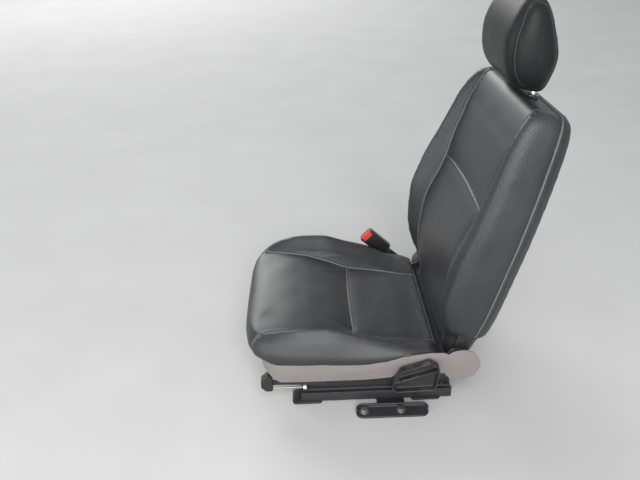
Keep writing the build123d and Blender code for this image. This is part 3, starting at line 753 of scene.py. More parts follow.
def upholster(pad, voxel, passes, firm, seams_of, held_of, limit, swing, seed):
    """Remesh a lofted pad, pull its seams in, blow it up between them and sew them. Returns the seams."""
    remesh(pad, voxel)
    soften(pad, 1 - firm(get_points(pad)), passes)
    seams = seams_of(pad)
    push_out(pad, -UNDERSIZE * (1 - firm(get_points(pad))))
    press_valleys(pad, seams)
    points = get_points(pad)
    held = held_of(points)
    for seam in seams:
        gap = distance_to(points, seam.path, GRIP_REACH)[0]
        held = np.maximum(held, seam.depth / GRIP_DEPTH * np.exp(-((gap / GRIP_HALF) ** 4)))
    swell(pad, held, limit)
    finish_with(pad, "SUBSURF", levels=1, render_levels=1)
    points = get_points(pad)
    push_out(pad, swung(points, UNEVEN, swing, seed) * (1 - firm(points)))
    seams = seams_of(pad)
    for reach in REFINED:
        refine_near(pad, seams, reach)
    crease, fold = sew(pad, seams)
    # Where the creases and folds lie, for the vinyl's painted shade in the creases and painted highlight on the
    # folds
    store(pad, "crease", crease)
    store(pad, "fold", fold)
    smooth_faces(pad, 180)
    return seams


# Cushion sections from front to rear, in millimetres: distance behind the front edge, inset from the
# full half width, then above the pan: underside, side ledge, top of the side wall, crest, middle,
# and how far the inboard side's ledge, wall and crest lie below the outboard ones
CUSHION_SECTIONS = (
    (0, 122, 29, 33, 49, 59, 60, 0),
    (12, 66, 18, 29, 55, 72, 71, 0),
    (34, 30, 4, 28, 62, 86, 80, 0),
    (77, 7, 0, 26, 70, 104, 81, 0),
    (152, 0, 0, 24.5, 72, 117, 73.5, 0),
    (199, 0, 0, 24, 70, 116, 63.5, 0),
    (282, 0, 0, 21.5, 57, 92, 38, 0),
    (342, 0, 0, 27.5, 53, 74, 27, 4),
    (400, 0, 0, 42, 50, 59, 19, 19),
    (422, 2, 0, 43, 48, 54, 15, 24),
    (454, 9, 0, 41, 47, 51, 10, 24),
    (481, 15, 0, 15, 20, 23, 8, 4),
)
CUSHION_FRONT = -302
CUSHION_HALF = 250
CUSHION_LEVEL = 121
# Side seam of the cushion: place along Y, distance from the middle line, height
CUSHION_SEAM = (
    (-297, 196, 150), (-293, 196, 166), (-280, 193, 184), (-262, 189, 193), (-230, 182, 197),
    (-190, 177, 197), (-150, 173, 193), (-110, 166, 184), (-70, 159, 172), (-30, 153, 158),
    (10, 155, 149), (50, 156, 142), (90, 154, 136), (130, 151, 129), (170, 150, 123),
)
INSERT_FRONT = -29
INSERT_HALF = 153
INSERT_ARCH = 3
SKIRT_FACE = 245.4
# Half width of what lies in the pan, width and corner of the side ledge, and how far in from the side the
# shoulder, the crest and the dish lie
IN_PAN_HALF, LEDGE_WIDTH, LEDGE_CORNER = 205, 30, 4
SHOULDER_IN, CREST_IN, DISH_IN = 10, 30, 44
# What wear takes off the outboard side: across, and as shares of the rise from the wall to the crest
WORN_IN, WORN_WALL, WORN_CREST = 6, 0.6, 0.22
# Height of a shoulder as a share of the rise from the wall to the crest, and what wear takes off it
SHOULDER_RISE, WORN_SHOULDER = 0.72, 0.1
# Points on each side of the outline, from the middle of the underside to the middle of the seat
CUSHION_COUNTS = (24, 4, 4, 1, 5, 3, 4, 7, 20)
# Zones, in millimetres: where each starts and the run over which it grows. Those that grow downwards or
# forwards are measured on the negative axis.
WALL_ZONE, EDGE_ZONE, LOW_DOTS_ZONE = (-170, 30), (-156, 8), (-145, 2)
NOSE_TURN, NOSE_ZONE, NOSE_CORNER_ZONE = (262, 40), (222, 26), (105, 45)
BOLSTER_ZONE, BOLSTER_HOLD = (182, 22), 0.9
# Where the lower edge laps over the skirt, how far it hangs down, and the half height of what hangs
LAP_ZONE, LAP_DROP, LAP_HALF = (226, 18), 5 * MM, 12 * MM


def cushion_ring(setback, inset, base, ledge, high, crest, middle, drop):
    """Outline of one section. The outboard shoulder is worn rounder and lower than the inboard one."""
    half = CUSHION_HALF - inset
    base_half = min(IN_PAN_HALF, half - LEDGE_WIDTH)
    dish = min(half - DISH_IN, seam_half(CUSHION_SEAM, CUSHION_FRONT + setback))
    raised = crest - high
    halves = []
    for fall, worn in ((0, 1), (drop, 0)):
        rim = ledge - fall
        wall = high - fall - WORN_WALL * worn * raised
        top = crest - fall - WORN_CREST * worn * raised
        shoulder, rise = half - SHOULDER_IN - WORN_IN * worn, SHOULDER_RISE - WORN_SHOULDER * worn
        corners = [
            (0, base), (base_half, base), (base_half, rim), (half - LEDGE_CORNER, rim),
            (half, rim + LEDGE_CORNER), (half, wall), (shoulder, wall + rise * (top - wall)),
            (half - CREST_IN - WORN_IN * worn, top), (dish, middle), (0, middle),
        ]
        halves.append(outline_points(corners, CUSHION_COUNTS))
    return [(x, CUSHION_LEVEL + z) for x, z in whole_ring(*halves)]


def cushion_aim(point):
    """Straight down, but back over the nose."""
    ahead = grown(-point.y, *NOSE_TURN)
    return Vector((0, ahead, 0.6 * ahead - 1))


def cushion_seams(obj):
    """The two side seams, which run down over the nose, and the seam across in front of the insert."""
    seams = []
    for side in SIDES.values():
        route = [on_seat(side * x, y, z) for y, x, z in CUSHION_SEAM]
        seams.append(run_seam(obj, route, cushion_aim, 2, (9, 12), outward))
    across = []
    for i in range(-6, 7):
        across.append(on_seat(INSERT_HALF * i / 6, INSERT_FRONT - INSERT_ARCH * (1 - (i / 6) ** 2), 170))
    seams.append(run_seam(obj, across, cushion_aim, 6.5, (9, 30), behind, fade=0.12))
    return seams


def ledge_height(y):
    """Height of the cushion's side ledge, which rests on the skirt."""
    places = [(CUSHION_FRONT + row[0]) * MM for row in CUSHION_SECTIONS]
    return np.interp(y, places, [(CUSHION_LEVEL + row[3]) * MM for row in CUSHION_SECTIONS])


def lap_over_skirt(pad):
    """Let the cushion's lower edge hang a little outside the skirt, so that no gap shows between them."""
    points = get_points(pad)
    ledge = ledge_height(points[:, 1])
    points[:, 2] -= LAP_DROP * grown(points[:, 0], *LAP_ZONE) * bell(points[:, 2] - ledge, LAP_HALF)
    inside = (points[:, 0] < SKIRT_FACE * MM) & (points[:, 0] > 232 * MM)
    points[:, 2] = np.where(inside, np.maximum(points[:, 2], ledge + 0.3 * MM), points[:, 2])
    set_points(pad, points)


def cushion_firm(points):
    """The lower part of the cushion keeps its shape, apart from its tail."""
    return np.minimum(grown(-points[:, 2], *WALL_ZONE), 0.85) * (points[:, 1] < 150 * MM)


def cushion_held(points):
    """The lower edge is held. The tight bolsters and the nose's corners hardly swell."""
    side = np.abs(points[:, 0])
    low = grown(-points[:, 2], *EDGE_ZONE)
    bolster = BOLSTER_HOLD * grown(side, *BOLSTER_ZONE)
    corner = grown(-points[:, 1], *NOSE_ZONE) * grown(side, *NOSE_CORNER_ZONE)
    return np.max([low, bolster, corner], axis=0)


def make_cushion():
    rows = smooth_rows(CUSHION_SECTIONS, step=6)
    places, sections = CUSHION_FRONT + rows[:, 0], [cushion_ring(*row) for row in rows]
    pad = lofted("cushion", places, sections, on_seat)
    seams = upholster(
        pad, voxel=6.5 * MM, passes=12, firm=cushion_firm, seams_of=cushion_seams, held_of=cushion_held,
        limit=3.2 * MM, swing=90 * MM, seed=4,
    )
    lap_over_skirt(pad)
    points = get_points(pad)
    low = grown(-points[:, 2], *LOW_DOTS_ZONE)
    store(pad, "dotted", np.maximum(outside_seams(points, CUSHION_SEAM), low))
    store_cover(pad, points, places, sections)
    dress(pad, "cushion_pad", replaced=["cushion_pad"])
    stitch("cushion_stitches", pad, seams, "seat")


# Backrest sections from heel to top, in millimetres: height along the back, inset from the full half
# width, rear face, top of the side wall, crest of the outboard bolster, rise of the inboard crest, middle
BACK_SECTIONS = (
    (-34, 40, -11, 5, 10, 0, 11),
    (-24, 40, -26, 11, 25, 0, 26),
    (0, 40, -36, 15, 35, 0, 36),
    (26, 40, -42, 17, 38, 0, 39),
    (56, 39.6, -48, 22, 54, 2, 51),
    (70, 16, -48, 24, 64, 6, 57),
    (150, 2, -48, 56, 95, 17, 80),
    (245, 0, -48, 68, 99, 33, 88),
    (290, 0, -48, 67.5, 96.5, 36, 82),
    (330, 0, -48, 66, 92, 36, 74),
    (380, 2.5, -48, 63.5, 89, 29, 69),
    (430, 6, -48, 60, 86, 20, 65),
    (545, 22, -48, 50, 76, 8, 58),
    (600, 36, -42, 34, 60, 2, 46),
    (618, 52, -28, 18, 44, 0, 34),
)
BACK_HALF = 242
# Side seam of the backrest: height along the back, distance from the middle line, place ahead
BACK_SEAM = (
    (-16, 158, 30), (60, 164, 52), (150, 167, 80), (206, 168, 91), (253, 168, 88),
    (293, 168, 83), (326, 168, 74), (369, 169, 68), (400, 173, 67), (440, 177, 65),
    (480, 177, 63), (520, 178, 60), (560, 173, 55), (600, 166, 43), (616, 160, 35),
)
LUMBAR_HEIGHT = 372
LUMBAR_RISE = 9
LUMBAR_HALF = 170
# Distance from the middle line of a bolster's crest, and how far in from the side it and the dish stay
BACK_CREST, BACK_CREST_IN, BACK_DISH_IN = 202, 20, 42
# How far in from the side the rear face starts, and the shoulder's place as a share of the way to the crest
REAR_IN, BACK_SHOULDER = 20, 0.3
BACK_COUNTS = (24, 3, 9, 4, 5, 7, 18)
# Zones as the cushion's are: up and down the back, and behind the hinge line
TOP_TURN, TOP_ZONE, HEEL_TURN, HEEL_ZONE = (592, 26), (520, 40), (0, 30), (-75, 20)
REAR_FIRM_ZONE, REAR_HELD_ZONE, REAR_DOTS_ZONE = (20, 20), (30, 10), (0, 2)
# Seam that joins the rear cover: its place ahead, then distance from the middle line and height along
REAR_SEAM_AHEAD = -12
REAR_SEAM_HALF = (
    (202, 20), (210, 60), (238, 90), (242, 200), (242, 330), (236, 430), (222, 540), (204, 595), (178, 617),
    (130, 620), (60, 620), (0, 620),
)
REAR_SEAM = [*REAR_SEAM_HALF, *((-x, along) for x, along in reversed(REAR_SEAM_HALF[:-1]))]


def back_ring(along, inset, rear, high, outboard_crest, rise, middle):
    """Outline of one section. The inboard bolster's crest may rise higher than the outboard one's."""
    half = BACK_HALF - inset
    crest_x = min(half - BACK_CREST_IN, BACK_CREST)
    dish_x = min(half - BACK_DISH_IN, seam_half(BACK_SEAM, along))
    shoulder_x = half - BACK_SHOULDER * (half - crest_x)
    halves = []
    for crest in (outboard_crest, outboard_crest + rise):
        corners = [
            (0, rear), (half - REAR_IN, rear), (half, rear * 0.5), (half, high),
            (shoulder_x, high + SHOULDER_RISE * (crest - high)), (crest_x, crest),
            (dish_x, middle), (0, middle),
        ]
        halves.append(outline_points(corners, BACK_COUNTS))
    return whole_ring(*halves)


def local_to_back(points):
    """Across, along and ahead of the backrest, in metres, for points in the seat's frame."""
    shifted = points - np.array(PIVOT)
    return np.stack([points[:, 0], shifted @ np.array(BACK_UP), shifted @ np.array(BACK_FORWARD)], axis=1)


def back_aim(point):
    """Straight back, but down at the top edge and up at the heel."""
    along = (point - PIVOT).dot(BACK_UP)
    down, up = 0.8 * grown(along, *TOP_TURN), 0.6 * grown(-along, *HEEL_TURN)
    return BACK_FORWARD * (down + up - 1) - BACK_UP * down + BACK_UP * up


def inward_aim(point):
    """Towards the inside of the backrest, from its sides and its top."""
    across, along, ahead = local_to_back(np.array([point]))[0] / MM
    return on_back(min(110, max(-110, across)), min(510, along), ahead) - point


def back_seams(obj):
    """The two side seams, the arched seam above the lumbar panel, and the one that joins the rear cover."""
    seams = []
    for side in SIDES.values():
        route = [on_back(side * x, along, ahead) for along, x, ahead in BACK_SEAM]
        seams.append(run_seam(obj, route, back_aim, 2.5, (10, 12), outward))
    arch = []
    for i in range(-8, 9):
        arch.append(on_back(LUMBAR_HALF * i / 8, LUMBAR_HEIGHT + LUMBAR_RISE * (1 - (i / 8) ** 2), 70))
    seams.append(run_seam(obj, arch, back_aim, 5, (9, 22), underneath, fade=0.12))
    rear = [on_back(x, along, REAR_SEAM_AHEAD) for x, along in REAR_SEAM]
    seams.append(run_seam(obj, rear, inward_aim, 2, (7, 7), rearward))
    return seams


def back_firm(points):
    """The rear face keeps its shape."""
    return np.minimum(grown(-local_to_back(points)[:, 2], *REAR_FIRM_ZONE), 0.8)


def back_held(points):
    """The rear, the heel and the top are held, and the tight bolsters hardly swell."""
    across, along, ahead = local_to_back(points).T
    bolster = BOLSTER_HOLD * grown(np.abs(across), *BOLSTER_ZONE)
    rear, heel, top = grown(-ahead, *REAR_HELD_ZONE), grown(-along, *HEEL_ZONE), grown(along, *TOP_ZONE)
    return np.max([rear, heel, top, bolster], axis=0)


def make_backrest():
    rows = smooth_rows(BACK_SECTIONS, step=6)
    places, sections = rows[:, 0], [back_ring(*row) for row in rows]
    pad = lofted("backrest", places, sections, on_back)
    seams = upholster(
        pad, voxel=8 * MM, passes=8, firm=back_firm, seams_of=back_seams, held_of=back_held,
        limit=3.2 * MM, swing=110 * MM, seed=9,
    )
    local = local_to_back(get_points(pad))
    rear = grown(-local[:, 2], *REAR_DOTS_ZONE)
    store(pad, "dotted", np.maximum(outside_seams(local, BACK_SEAM), rear))
    store_cover(pad, local, places, sections)
    dress(pad, "back_pad", replaced=["back_pad"])
    stitch("backrest_stitches", pad, seams, "backrest")


# Headrest sections from its underside up, in millimetres: height, half width, front, rear, corner radius
HEADREST_SECTIONS = (
    (0, 72, 50, -2, 20),
    (10, 98, 73, -5, 30),
    (24, 113, 89, -6, 38),
    (48, 123, 105, -6, 44),
    (82, 128, 117, -3, 46),
    (107, 128, 121, 8, 46),
    (134, 124, 119, 23, 44),
    (159, 114, 112, 38, 34),
    (176, 100, 102, 51, 22),
    (186, 80, 90, 62, 12),
)
HEADREST_LOW = 629
HEADREST_CENTRE = (722, 56)
# Seam loop round each side gusset: height along the back, place ahead, and its share of the half width
GUSSET_SEAM = (
    (641, 42), (660, 66), (698, 86), (731, 100), (765, 107), (790, 104), (803, 92), (806, 76), (796, 56),
    (774, 36), (745, 20), (712, 8), (682, 4), (656, 6), (643, 20),
)
GUSSET_SHARE = 0.86
UNDERSIDE_ZONE = (-645, 10)


def rounded_ring(half, front, rear, radius, steps):
    """Outline of a rounded rectangle, as offsets across and ahead."""
    middle, reach = (front + rear) / 2, (front - rear) / 2
    corners = ((1, 1, 0), (-1, 1, 90), (-1, -1, 180), (1, -1, 270))
    ring = []
    for sign_x, sign_y, start in corners:
        centre = (sign_x * (half - radius), middle + sign_y * (reach - radius))
        for i in range(steps):
            angle = radians(start + 90 * i / (steps - 1))
            ring.append((centre[0] + radius * cos(angle), centre[1] + radius * sin(angle)))
    return ring


def headrest_aim(point):
    return on_back(point.x / MM, *HEADREST_CENTRE) - point


def headrest_seams(obj):
    """A seam round each side gusset."""
    heights = [HEADREST_LOW + row[0] for row in HEADREST_SECTIONS]
    halves = [GUSSET_SHARE * row[1] for row in HEADREST_SECTIONS]
    seams = []
    for side in SIDES.values():
        loop = (*GUSSET_SEAM, GUSSET_SEAM[0])
        route = [on_back(side * np.interp(along, heights, halves), along, ahead) for along, ahead in loop]
        seams.append(run_seam(obj, route, headrest_aim, 5, (9, 11), outward))
    return seams


def headrest_firm(points):
    """No part of it is kept from softening."""
    return np.zeros(len(points))


def headrest_held(points):
    """The underside is held."""
    return grown(-local_to_back(points)[:, 1], *UNDERSIDE_ZONE)


def make_headrest():
    rows = smooth_rows(HEADREST_SECTIONS, step=4)
    places, sections = HEADREST_LOW + rows[:, 0], [rounded_ring(*row[1:], steps=12) for row in rows]
    pad = lofted("headrest", places, sections, on_back)
    seams = upholster(
        pad, voxel=5 * MM, passes=14, firm=headrest_firm, seams_of=headrest_seams, held_of=headrest_held,
        limit=4 * MM, swing=90 * MM, seed=2,
    )
    store(pad, "dotted", np.ones(len(pad.data.vertices)))
    store_cover(pad, local_to_back(get_points(pad)), places, sections)
    dress(pad, "headrest_pad", material=SHADED_HEADREST_VINYL, replaced=["headrest_pad"])
    stitch("headrest_stitches", pad, seams, "headrest")


# Flap that closes the gap behind the cushion, from the cushion's tail to the backrest's heel: along Y and Z
FLAP_PROFILE = ((172, 132), (177, 131.5), (182, 127.5), (187, 124.5), (191, 123), (196, 122))
FLAP_HALF = 200
FLAP_COLUMNS = 67
FLAP_SAG = 0.8 * MM


def make_flap():
    """Strip of vinyl cloth behind the cushion."""
    run = even_path([on_seat(0, y, z) for y, z in FLAP_PROFILE], 1.6 * MM)
    points, faces = [], []
    for column in range(FLAP_COLUMNS):
        x = FLAP_HALF * MM * (2 * column / (FLAP_COLUMNS - 1) - 1)
        sag = FLAP_SAG * sin(column * 0.9) * sin(column * 0.37)
        for index, place in enumerate(run):
            share = sin(pi * index / (len(run) - 1))
            points.append((x, place[1], place[2] + sag * share))
    for column in range(FLAP_COLUMNS - 1):
        for row in range(len(run) - 1):
            a, b = column * len(run) + row, (column + 1) * len(run) + row
            faces.append((a, b, b + 1, a + 1))
    flap = mesh_object("closing_flap", points, faces)
    finish_with(flap, "SOLIDIFY", thickness=1.2 * MM, offset=0)
    smooth_faces(flap, 60)
    flap.data.materials.append(VINYL)
    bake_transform(flap)


# Rigid parts

def turned(obj, axis):
    """Turn an object's Z to an axis, and settle it."""
    obj.rotation_euler = Vector(axis).to_track_quat("Z", "Y").to_euler()
    return settle(obj)


def rod(place, axis, radius, depth, sides=32):
    """A short cylinder or prism, centred at a place, along an axis."""
    bpy.ops.object.select_all(action="DESELECT")
    bpy.ops.mesh.primitive_cylinder_add(vertices=sides, radius=radius, depth=depth, location=place)
    return turned(bpy.context.object, axis)


def block(place, size, axis=(0, 0, 1)):
    """A block of the given size, centred at a place, with its Z along an axis."""
    bpy.ops.object.select_all(action="DESELECT")
    bpy.ops.mesh.primitive_cube_add(size=1, location=place)
    bpy.context.object.scale = size
    return turned(bpy.context.object, axis)


def round_edges(obj, width, segments, limit_method="ANGLE"):
    """Bevel an object's sharp edges, or with NONE all of them. The width is in millimetres."""
    finish_with(obj, "BEVEL", width=width * MM, segments=segments, limit_method=limit_method)
    return obj


def joined(parts):
    """One object from several."""
    bpy.ops.object.select_all(action="DESELECT")
    for part in parts:
        part.select_set(True)
    bpy.context.view_layer.objects.active = parts[0]
    bpy.ops.object.join()
    return parts[0]


def complete(obj, name, node_or_body, slot=None, replaced=()):
    """Name a rigid piece, smooth its faces and dress it."""
    obj.name = name
    smooth_faces(obj)
    dress(obj, node_or_body, slot, replaced=replaced)


WASHER_THICK = 1.6 * MM


def hex_bolt(place, axis, across, high, washer):
    """Hexagon head with chamfered corners on a washer that stands on a face."""
    axis = Vector(axis)
    plate = rod(place + axis * (WASHER_THICK / 2), axis, washer, WASHER_THICK)
    head = rod(place + axis * (WASHER_THICK + high / 2), axis, across / 2 / cos(pi / 6), high, sides=6)
    return [round_edges(plate, 0.4, 2), round_edges(head, 0.9, 2)]


def rivet(place, axis, radius, high):
    """Domed head of a rivet or push-in clip."""
    axis = Vector(axis)
    return [round_edges(rod(place + axis * high / 2, axis, radius, high, sides=28), 0.8 * high / MM, 4)]


# Rivets along the upper rails: places along Y, and distance from a rail's middle
RIVETS_Y = (-140, -60, 20, 190)
RIVET_OFFSET = 10
# Clips of the rear board: place ahead, then height along the back and distance from the middle line
BOARD_FACE = -51.6
SIDE_CLIPS = ((92, 170), (240, 160), (390, 150), (520, 140))
LOW_CLIPS = ((84, -80), (84, 0), (84, 80))


def make_fasteners():
    """Bolts, rivets and clips, which are too small for the solids."""
    frame_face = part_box("side_frame_inboard")[0][0]
    bolts, rivets, clips = [], [], []
    for end in ("front", "rear"):
        low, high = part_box("cross_tube_" + end)
        place = Vector((frame_face, (low[1] + high[1]) / 2, (low[2] + high[2]) / 2))
        bolts += hex_bolt(place, (-1, 0, 0), across=13 * MM, high=6 * MM, washer=11 * MM)
    for name, side in reversed(SIDES.items()):
        low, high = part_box("upper_rail_" + name)
        for y in RIVETS_Y:
            place = Vector(((low[0] + high[0]) / 2 + side * RIVET_OFFSET * MM, y * MM, high[2]))
            rivets += rivet(place, (0, 0, 1), radius=5 * MM, high=2.4 * MM)
    spots = [(along, side * across) for side in (-1, 1) for along, across in SIDE_CLIPS]
    for along, across in (*spots, *LOW_CLIPS):
        clips += rivet(on_back(across, along, BOARD_FACE), -BACK_FORWARD, radius=6.5 * MM, high=2.2 * MM)
    for name, parts, body, slot in (
        ("frame_bolts", bolts, "seat", "plated_steel"),
        ("rail_rivets", rivets, "seat", "black_steel"),
        ("board_clips", clips, "backrest", "black_plastic"),
    ):
        complete(joined(parts), name, body, slot)


# Pan ribs: places across, size, how far ahead of the pan's middle they lie and how far below its face
PAN_RIBS = (-130, -65, 0, 65, 130)
RIB_SIZE = (16 * MM, 250 * MM, 5 * MM)
RIB_AHEAD, RIB_BELOW = 20 * MM, 1.2 * MM


def make_pan_ribs():
    """Pressed ribs that stiffen the pan, seen from below."""
    low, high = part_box("cushion_pan")
    ribs = []
    for across in PAN_RIBS:
        place = (across * MM, (low[1] + high[1]) / 2 - RIB_AHEAD, low[2] - RIB_BELOW)
        ribs.append(round_edges(block(place, RIB_SIZE), 2.2, 4, "NONE"))
    complete(joined(ribs), "pan_ribs", "seat", "black_steel")


COLLAR_BUTTON_PLACE = (78.5, 620.2, 8)
COLLAR_BUTTON_SIZE = (9 * MM, 10 * MM, 4.6 * MM)


def make_headrest_button():
    """Push button in the collar of the outboard headrest guide."""
    button = block(on_back(*COLLAR_BUTTON_PLACE), COLLAR_BUTTON_SIZE, BACK_UP)
    complete(round_edges(button, 1.6, 3, "NONE"), "headrest_button", "backrest", "black_plastic")


# The buckle lies along a line that leans forward from its bolt: places along that line, in millimetres
BUCKLE_BOLT = (160, 100)
BUCKLE_LEAN = radians(42.7)
BUCKLE_AXIS = Vector((0, -cos(BUCKLE_LEAN), sin(BUCKLE_LEAN)))
BUCKLE_ACROSS = Vector((0, sin(BUCKLE_LEAN), cos(BUCKLE_LEAN)))
BUCKLE_X = -267
SHELL_FROM, SHELL_TO = 74, 163
SHELL_DEPTH = 24
SHELL_LOW_HALF, SHELL_MOUTH_HALF = 14, 23
# How far the shell's mouth leans, and the sizes of the tongue's slot, the button's well and the button
MOUTH_LEAN = -1.5
TONGUE_SLOT = (5.4 * MM, 30 * MM, 34 * MM)
BUTTON_WELL = (13 * MM, 36 * MM, 26 * MM)
BUTTON_SIZE = (10.5 * MM, 35 * MM, 20 * MM)


def in_buckle(obj, x, along, across=0):
    """Turn a piece made round the origin into the buckle's frame, where its Z runs along the buckle."""
    turn = Matrix((Vector((1, 0, 0)), BUCKLE_ACROSS, BUCKLE_AXIS)).transposed().to_4x4()
    place = on_seat(x, *BUCKLE_BOLT) + BUCKLE_AXIS * along * MM + BUCKLE_ACROSS * across * MM
    obj.matrix_world = Matrix.Translation(place) @ turn
    return settle(obj)


def cut_away(obj, cutter):
    finish_with(obj, "BOOLEAN", operation="DIFFERENCE", object=cutter, solver="EXACT")
    bpy.data.objects.remove(cutter)


def make_buckle():
    """Tapered rounded housing with a slot for the tongue, and the red button in its mouth."""
    length = SHELL_TO - SHELL_FROM
    shell = block((0, 0, 0), (SHELL_DEPTH * MM, 2 * SHELL_LOW_HALF * MM, length * MM))
    select_only(shell)
    top = max(shell.data.polygons, key=lambda face: face.center.z)
    for face in shell.data.polygons:
        face.select = face.index == top.index
    bpy.ops.object.mode_set(mode="EDIT")
    bpy.ops.mesh.select_mode(type="FACE")
    flare = (1, SHELL_MOUTH_HALF / SHELL_LOW_HALF, 1)
    bpy.ops.transform.resize(value=flare, center_override=(0, 0, length / 2 * MM))
    bpy.ops.transform.translate(value=(0, MOUTH_LEAN * MM, 0))
    bpy.ops.object.mode_set(mode="OBJECT")
    round_edges(shell, 5.5, 5, "NONE")
    cut_away(shell, block((-6 * MM, 0, (length / 2 - 10) * MM), TONGUE_SLOT))
    cut_away(shell, block((7 * MM, MOUTH_LEAN * MM, (length / 2 - 6) * MM), BUTTON_WELL))
    in_buckle(shell, BUCKLE_X, (SHELL_FROM + SHELL_TO) / 2)
    shell_nodes = ["buckle_housing", "buckle_frame", "buckle_cover"]
    complete(shell, "buckle_shell", "buckle_housing", replaced=shell_nodes)
    button = round_edges(block((0, 0, 0), BUTTON_SIZE), 3.2, 4, "NONE")
    in_buckle(button, BUCKLE_X + 6, SHELL_TO - 7.5, MOUTH_LEAN)
    complete(button, "buckle_press_button", "buckle_button", replaced=["buckle_button"])


def crisp(node, bevel, segments):
    """A rigid part's own shape, with its faces joined up and its edges rounded as pressed or moulded."""
    obj = bpy.data.objects.new(node + "_made", nodes[node].data.copy())
    scene.collection.objects.link(obj)
    edit_all(obj)
    bpy.ops.mesh.remove_doubles(threshold=0.01 * MM)
    bpy.ops.mesh.dissolve_limited(angle_limit=radians(1))
    bpy.ops.object.mode_set(mode="OBJECT")
    finish_with(
        obj, "BEVEL", width=bevel * MM, segments=segments, limit_method="ANGLE", angle_limit=radians(32),
        use_clamp_overlap=True, harden_normals=False,
    )
    smooth_faces(obj)
    dress(obj, node, replaced=[node])


# Width of the rounded edges in millimetres, and their segments. Braces stand for outboard and inboard.
CRISP_PARTS = {
    "side_skirt": (1, 3),
    "hinge_cover": (1, 3),
    "recliner_lever": (2, 3),
    "slide_lever_knob": (2.4, 3),
    "anchor_bracket": (1.2, 2),
    "anchor_bolts": (0.8, 2),
    "back_board": (1.5, 3),
    "buckle_stalk": (0.5, 2),
    "buckle_bracket": (0.6, 2),
    "side_frame_{}": (0.8, 2),
    "upper_rail_{}": (0.6, 2),
    "lower_rail_{}": (0.6, 2),
    "foot_front_{}": (0.7, 2),
    "foot_rear_{}": (0.7, 2),
    "recliner_arm_{}": (0.7, 2),
    "recliner_disc_{}": (0.5, 2),
    "slide_lever_arm": (0.7, 2),
    "release_bar": (0.6, 2),
    "latch_clip": (1.5, 3),
    "cushion_pan": (1, 2),
    "headrest_guide_{}": (1.2, 3),
}


def dress_kept_parts():
    """The parts whose own shape is right keep it, and get their finish."""
    for node, obj in nodes.items():
        if not obj.hide_render:
            obj.data.materials.clear()
            obj.data.materials.append(MATERIAL_OF_SLOT[SLOT_OF[node]])


# Setting: floor, light and camera

# Place, aimed at, size across and up, power in watts
LAMPS = {
    "far_light": ((-8.1, -3.6, 5.2), (0.0, -0.2, 0.25), 7.2, 3.2, 670),
    "near_light": ((3.8, 0.1, 3.2), (0.0, 0.0, 0.3), 2.6, 3.4, 205),
    "front_light": ((2.3, -3.9, 0.9), (0.0, 0.2, 0.5), 2.0, 1.6, 70),
    "low_light": ((3.0, -0.3, 0.75), (0.0, -0.1, 0.2), 2.6, 0.7, 38),
}


def make_floor():
    bpy.ops.object.select_all(action="DESELECT")
    bpy.ops.mesh.primitive_plane_add(size=30, location=(0, 0, -0.0005))
    floor = settle(bpy.context.object)
    floor.name = "studio_floor"
    material, tree, shader, place = start_material("pale_floor", Roughness=0.85)
    clouds = ramp(tree, speckle(tree, place, 3.0, 2.0), 0.3, 0.7)
    colour = mix_colour(tree, clouds, (0.50, 0.50, 0.49), (0.53, 0.53, 0.52))
    tree.links.new(colour, shader.inputs["Base Color"])
    floor.data.materials.append(material)


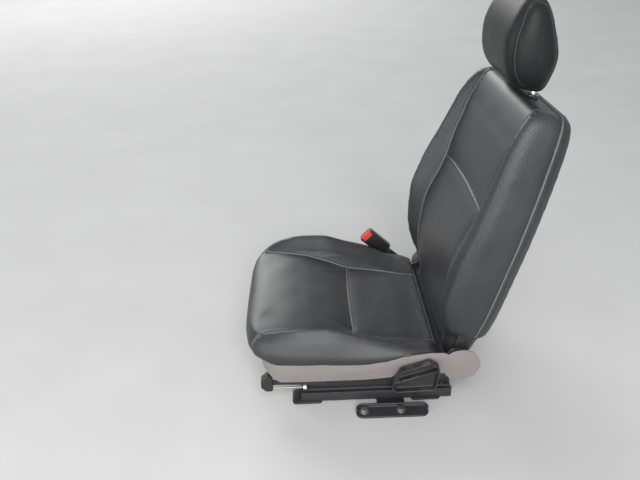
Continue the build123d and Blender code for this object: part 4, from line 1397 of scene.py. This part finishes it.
def make_light():
    """Soft light from all round, under a pale background that is seen and mirrored, and four lamps."""
    world = bpy.data.worlds.new("studio")
    scene.world = world
    world.use_nodes = True
    tree = world.node_tree
    light = tree.nodes["Background"]
    light.inputs["Color"].default_value = (0.9, 0.93, 0.97, 1)
    light.inputs["Strength"].default_value = 0.4
    seen = add_node(tree, "ShaderNodeBackground", {"Color": (0.59, 0.6, 0.61), "Strength": 1.0})
    rays = add_node(tree, "ShaderNodeLightPath").outputs
    mirrored = math(tree, "MAXIMUM", rays["Is Glossy Ray"], rays["Is Transmission Ray"])
    is_seen = math(tree, "MAXIMUM", rays["Is Camera Ray"], mirrored)
    either = add_node(tree, "ShaderNodeMixShader", {0: is_seen, 1: light.outputs[0], 2: seen.outputs[0]})
    tree.links.new(either.outputs[0], tree.nodes["World Output"].inputs["Surface"])
    for name, (place, aim, across, high, power) in LAMPS.items():
        lamp = bpy.data.lights.new(name, "AREA")
        lamp.shape = "RECTANGLE"
        lamp.size, lamp.size_y, lamp.energy = across, high, power
        obj = bpy.data.objects.new(name, lamp)
        scene.collection.objects.link(obj)
        obj.location = place
        obj.rotation_euler = (Vector(aim) - Vector(place)).to_track_quat("-Z", "Y").to_euler()


CAMERA_PLACE = (1.33795, -0.12527, 1.12637)
CAMERA_AZIMUTH, CAMERA_DOWN, CAMERA_ROLL = radians(89.11), radians(30.22), radians(-1.5)
CAMERA_SENSOR, CAMERA_LENS = 36, 33.75


def make_camera():
    """Camera at the photograph's place: beside the seat on its outboard side, looking in and down."""
    flat = cos(CAMERA_DOWN)
    back = Vector((sin(CAMERA_AZIMUTH) * flat, -cos(CAMERA_AZIMUTH) * flat, sin(CAMERA_DOWN)))
    level = (-back).cross(Vector((0, 0, 1))).normalized()
    upright = level.cross(-back)
    across = cos(CAMERA_ROLL) * level + sin(CAMERA_ROLL) * upright
    upward = -sin(CAMERA_ROLL) * level + cos(CAMERA_ROLL) * upright
    camera = bpy.data.cameras.new("camera")
    camera.sensor_width = CAMERA_SENSOR
    camera.lens = CAMERA_LENS
    obj = bpy.data.objects.new("camera", camera)
    scene.collection.objects.link(obj)
    turn = Matrix((across, upward, back)).transposed().to_4x4()
    obj.matrix_world = Matrix.Translation(CAMERA_PLACE) @ turn
    scene.camera = obj


make_camera()
make_floor()
make_light()
make_cushion()
make_backrest()
make_headrest()
make_flap()
make_fasteners()
make_pan_ribs()
make_headrest_button()
make_buckle()
for part, (width, segments) in CRISP_PARTS.items():
    for side_name in SIDES if "{}" in part else [""]:
        crisp(part.format(side_name), width, segments)
dress_kept_parts()

scene.view_settings.view_transform = "Standard"
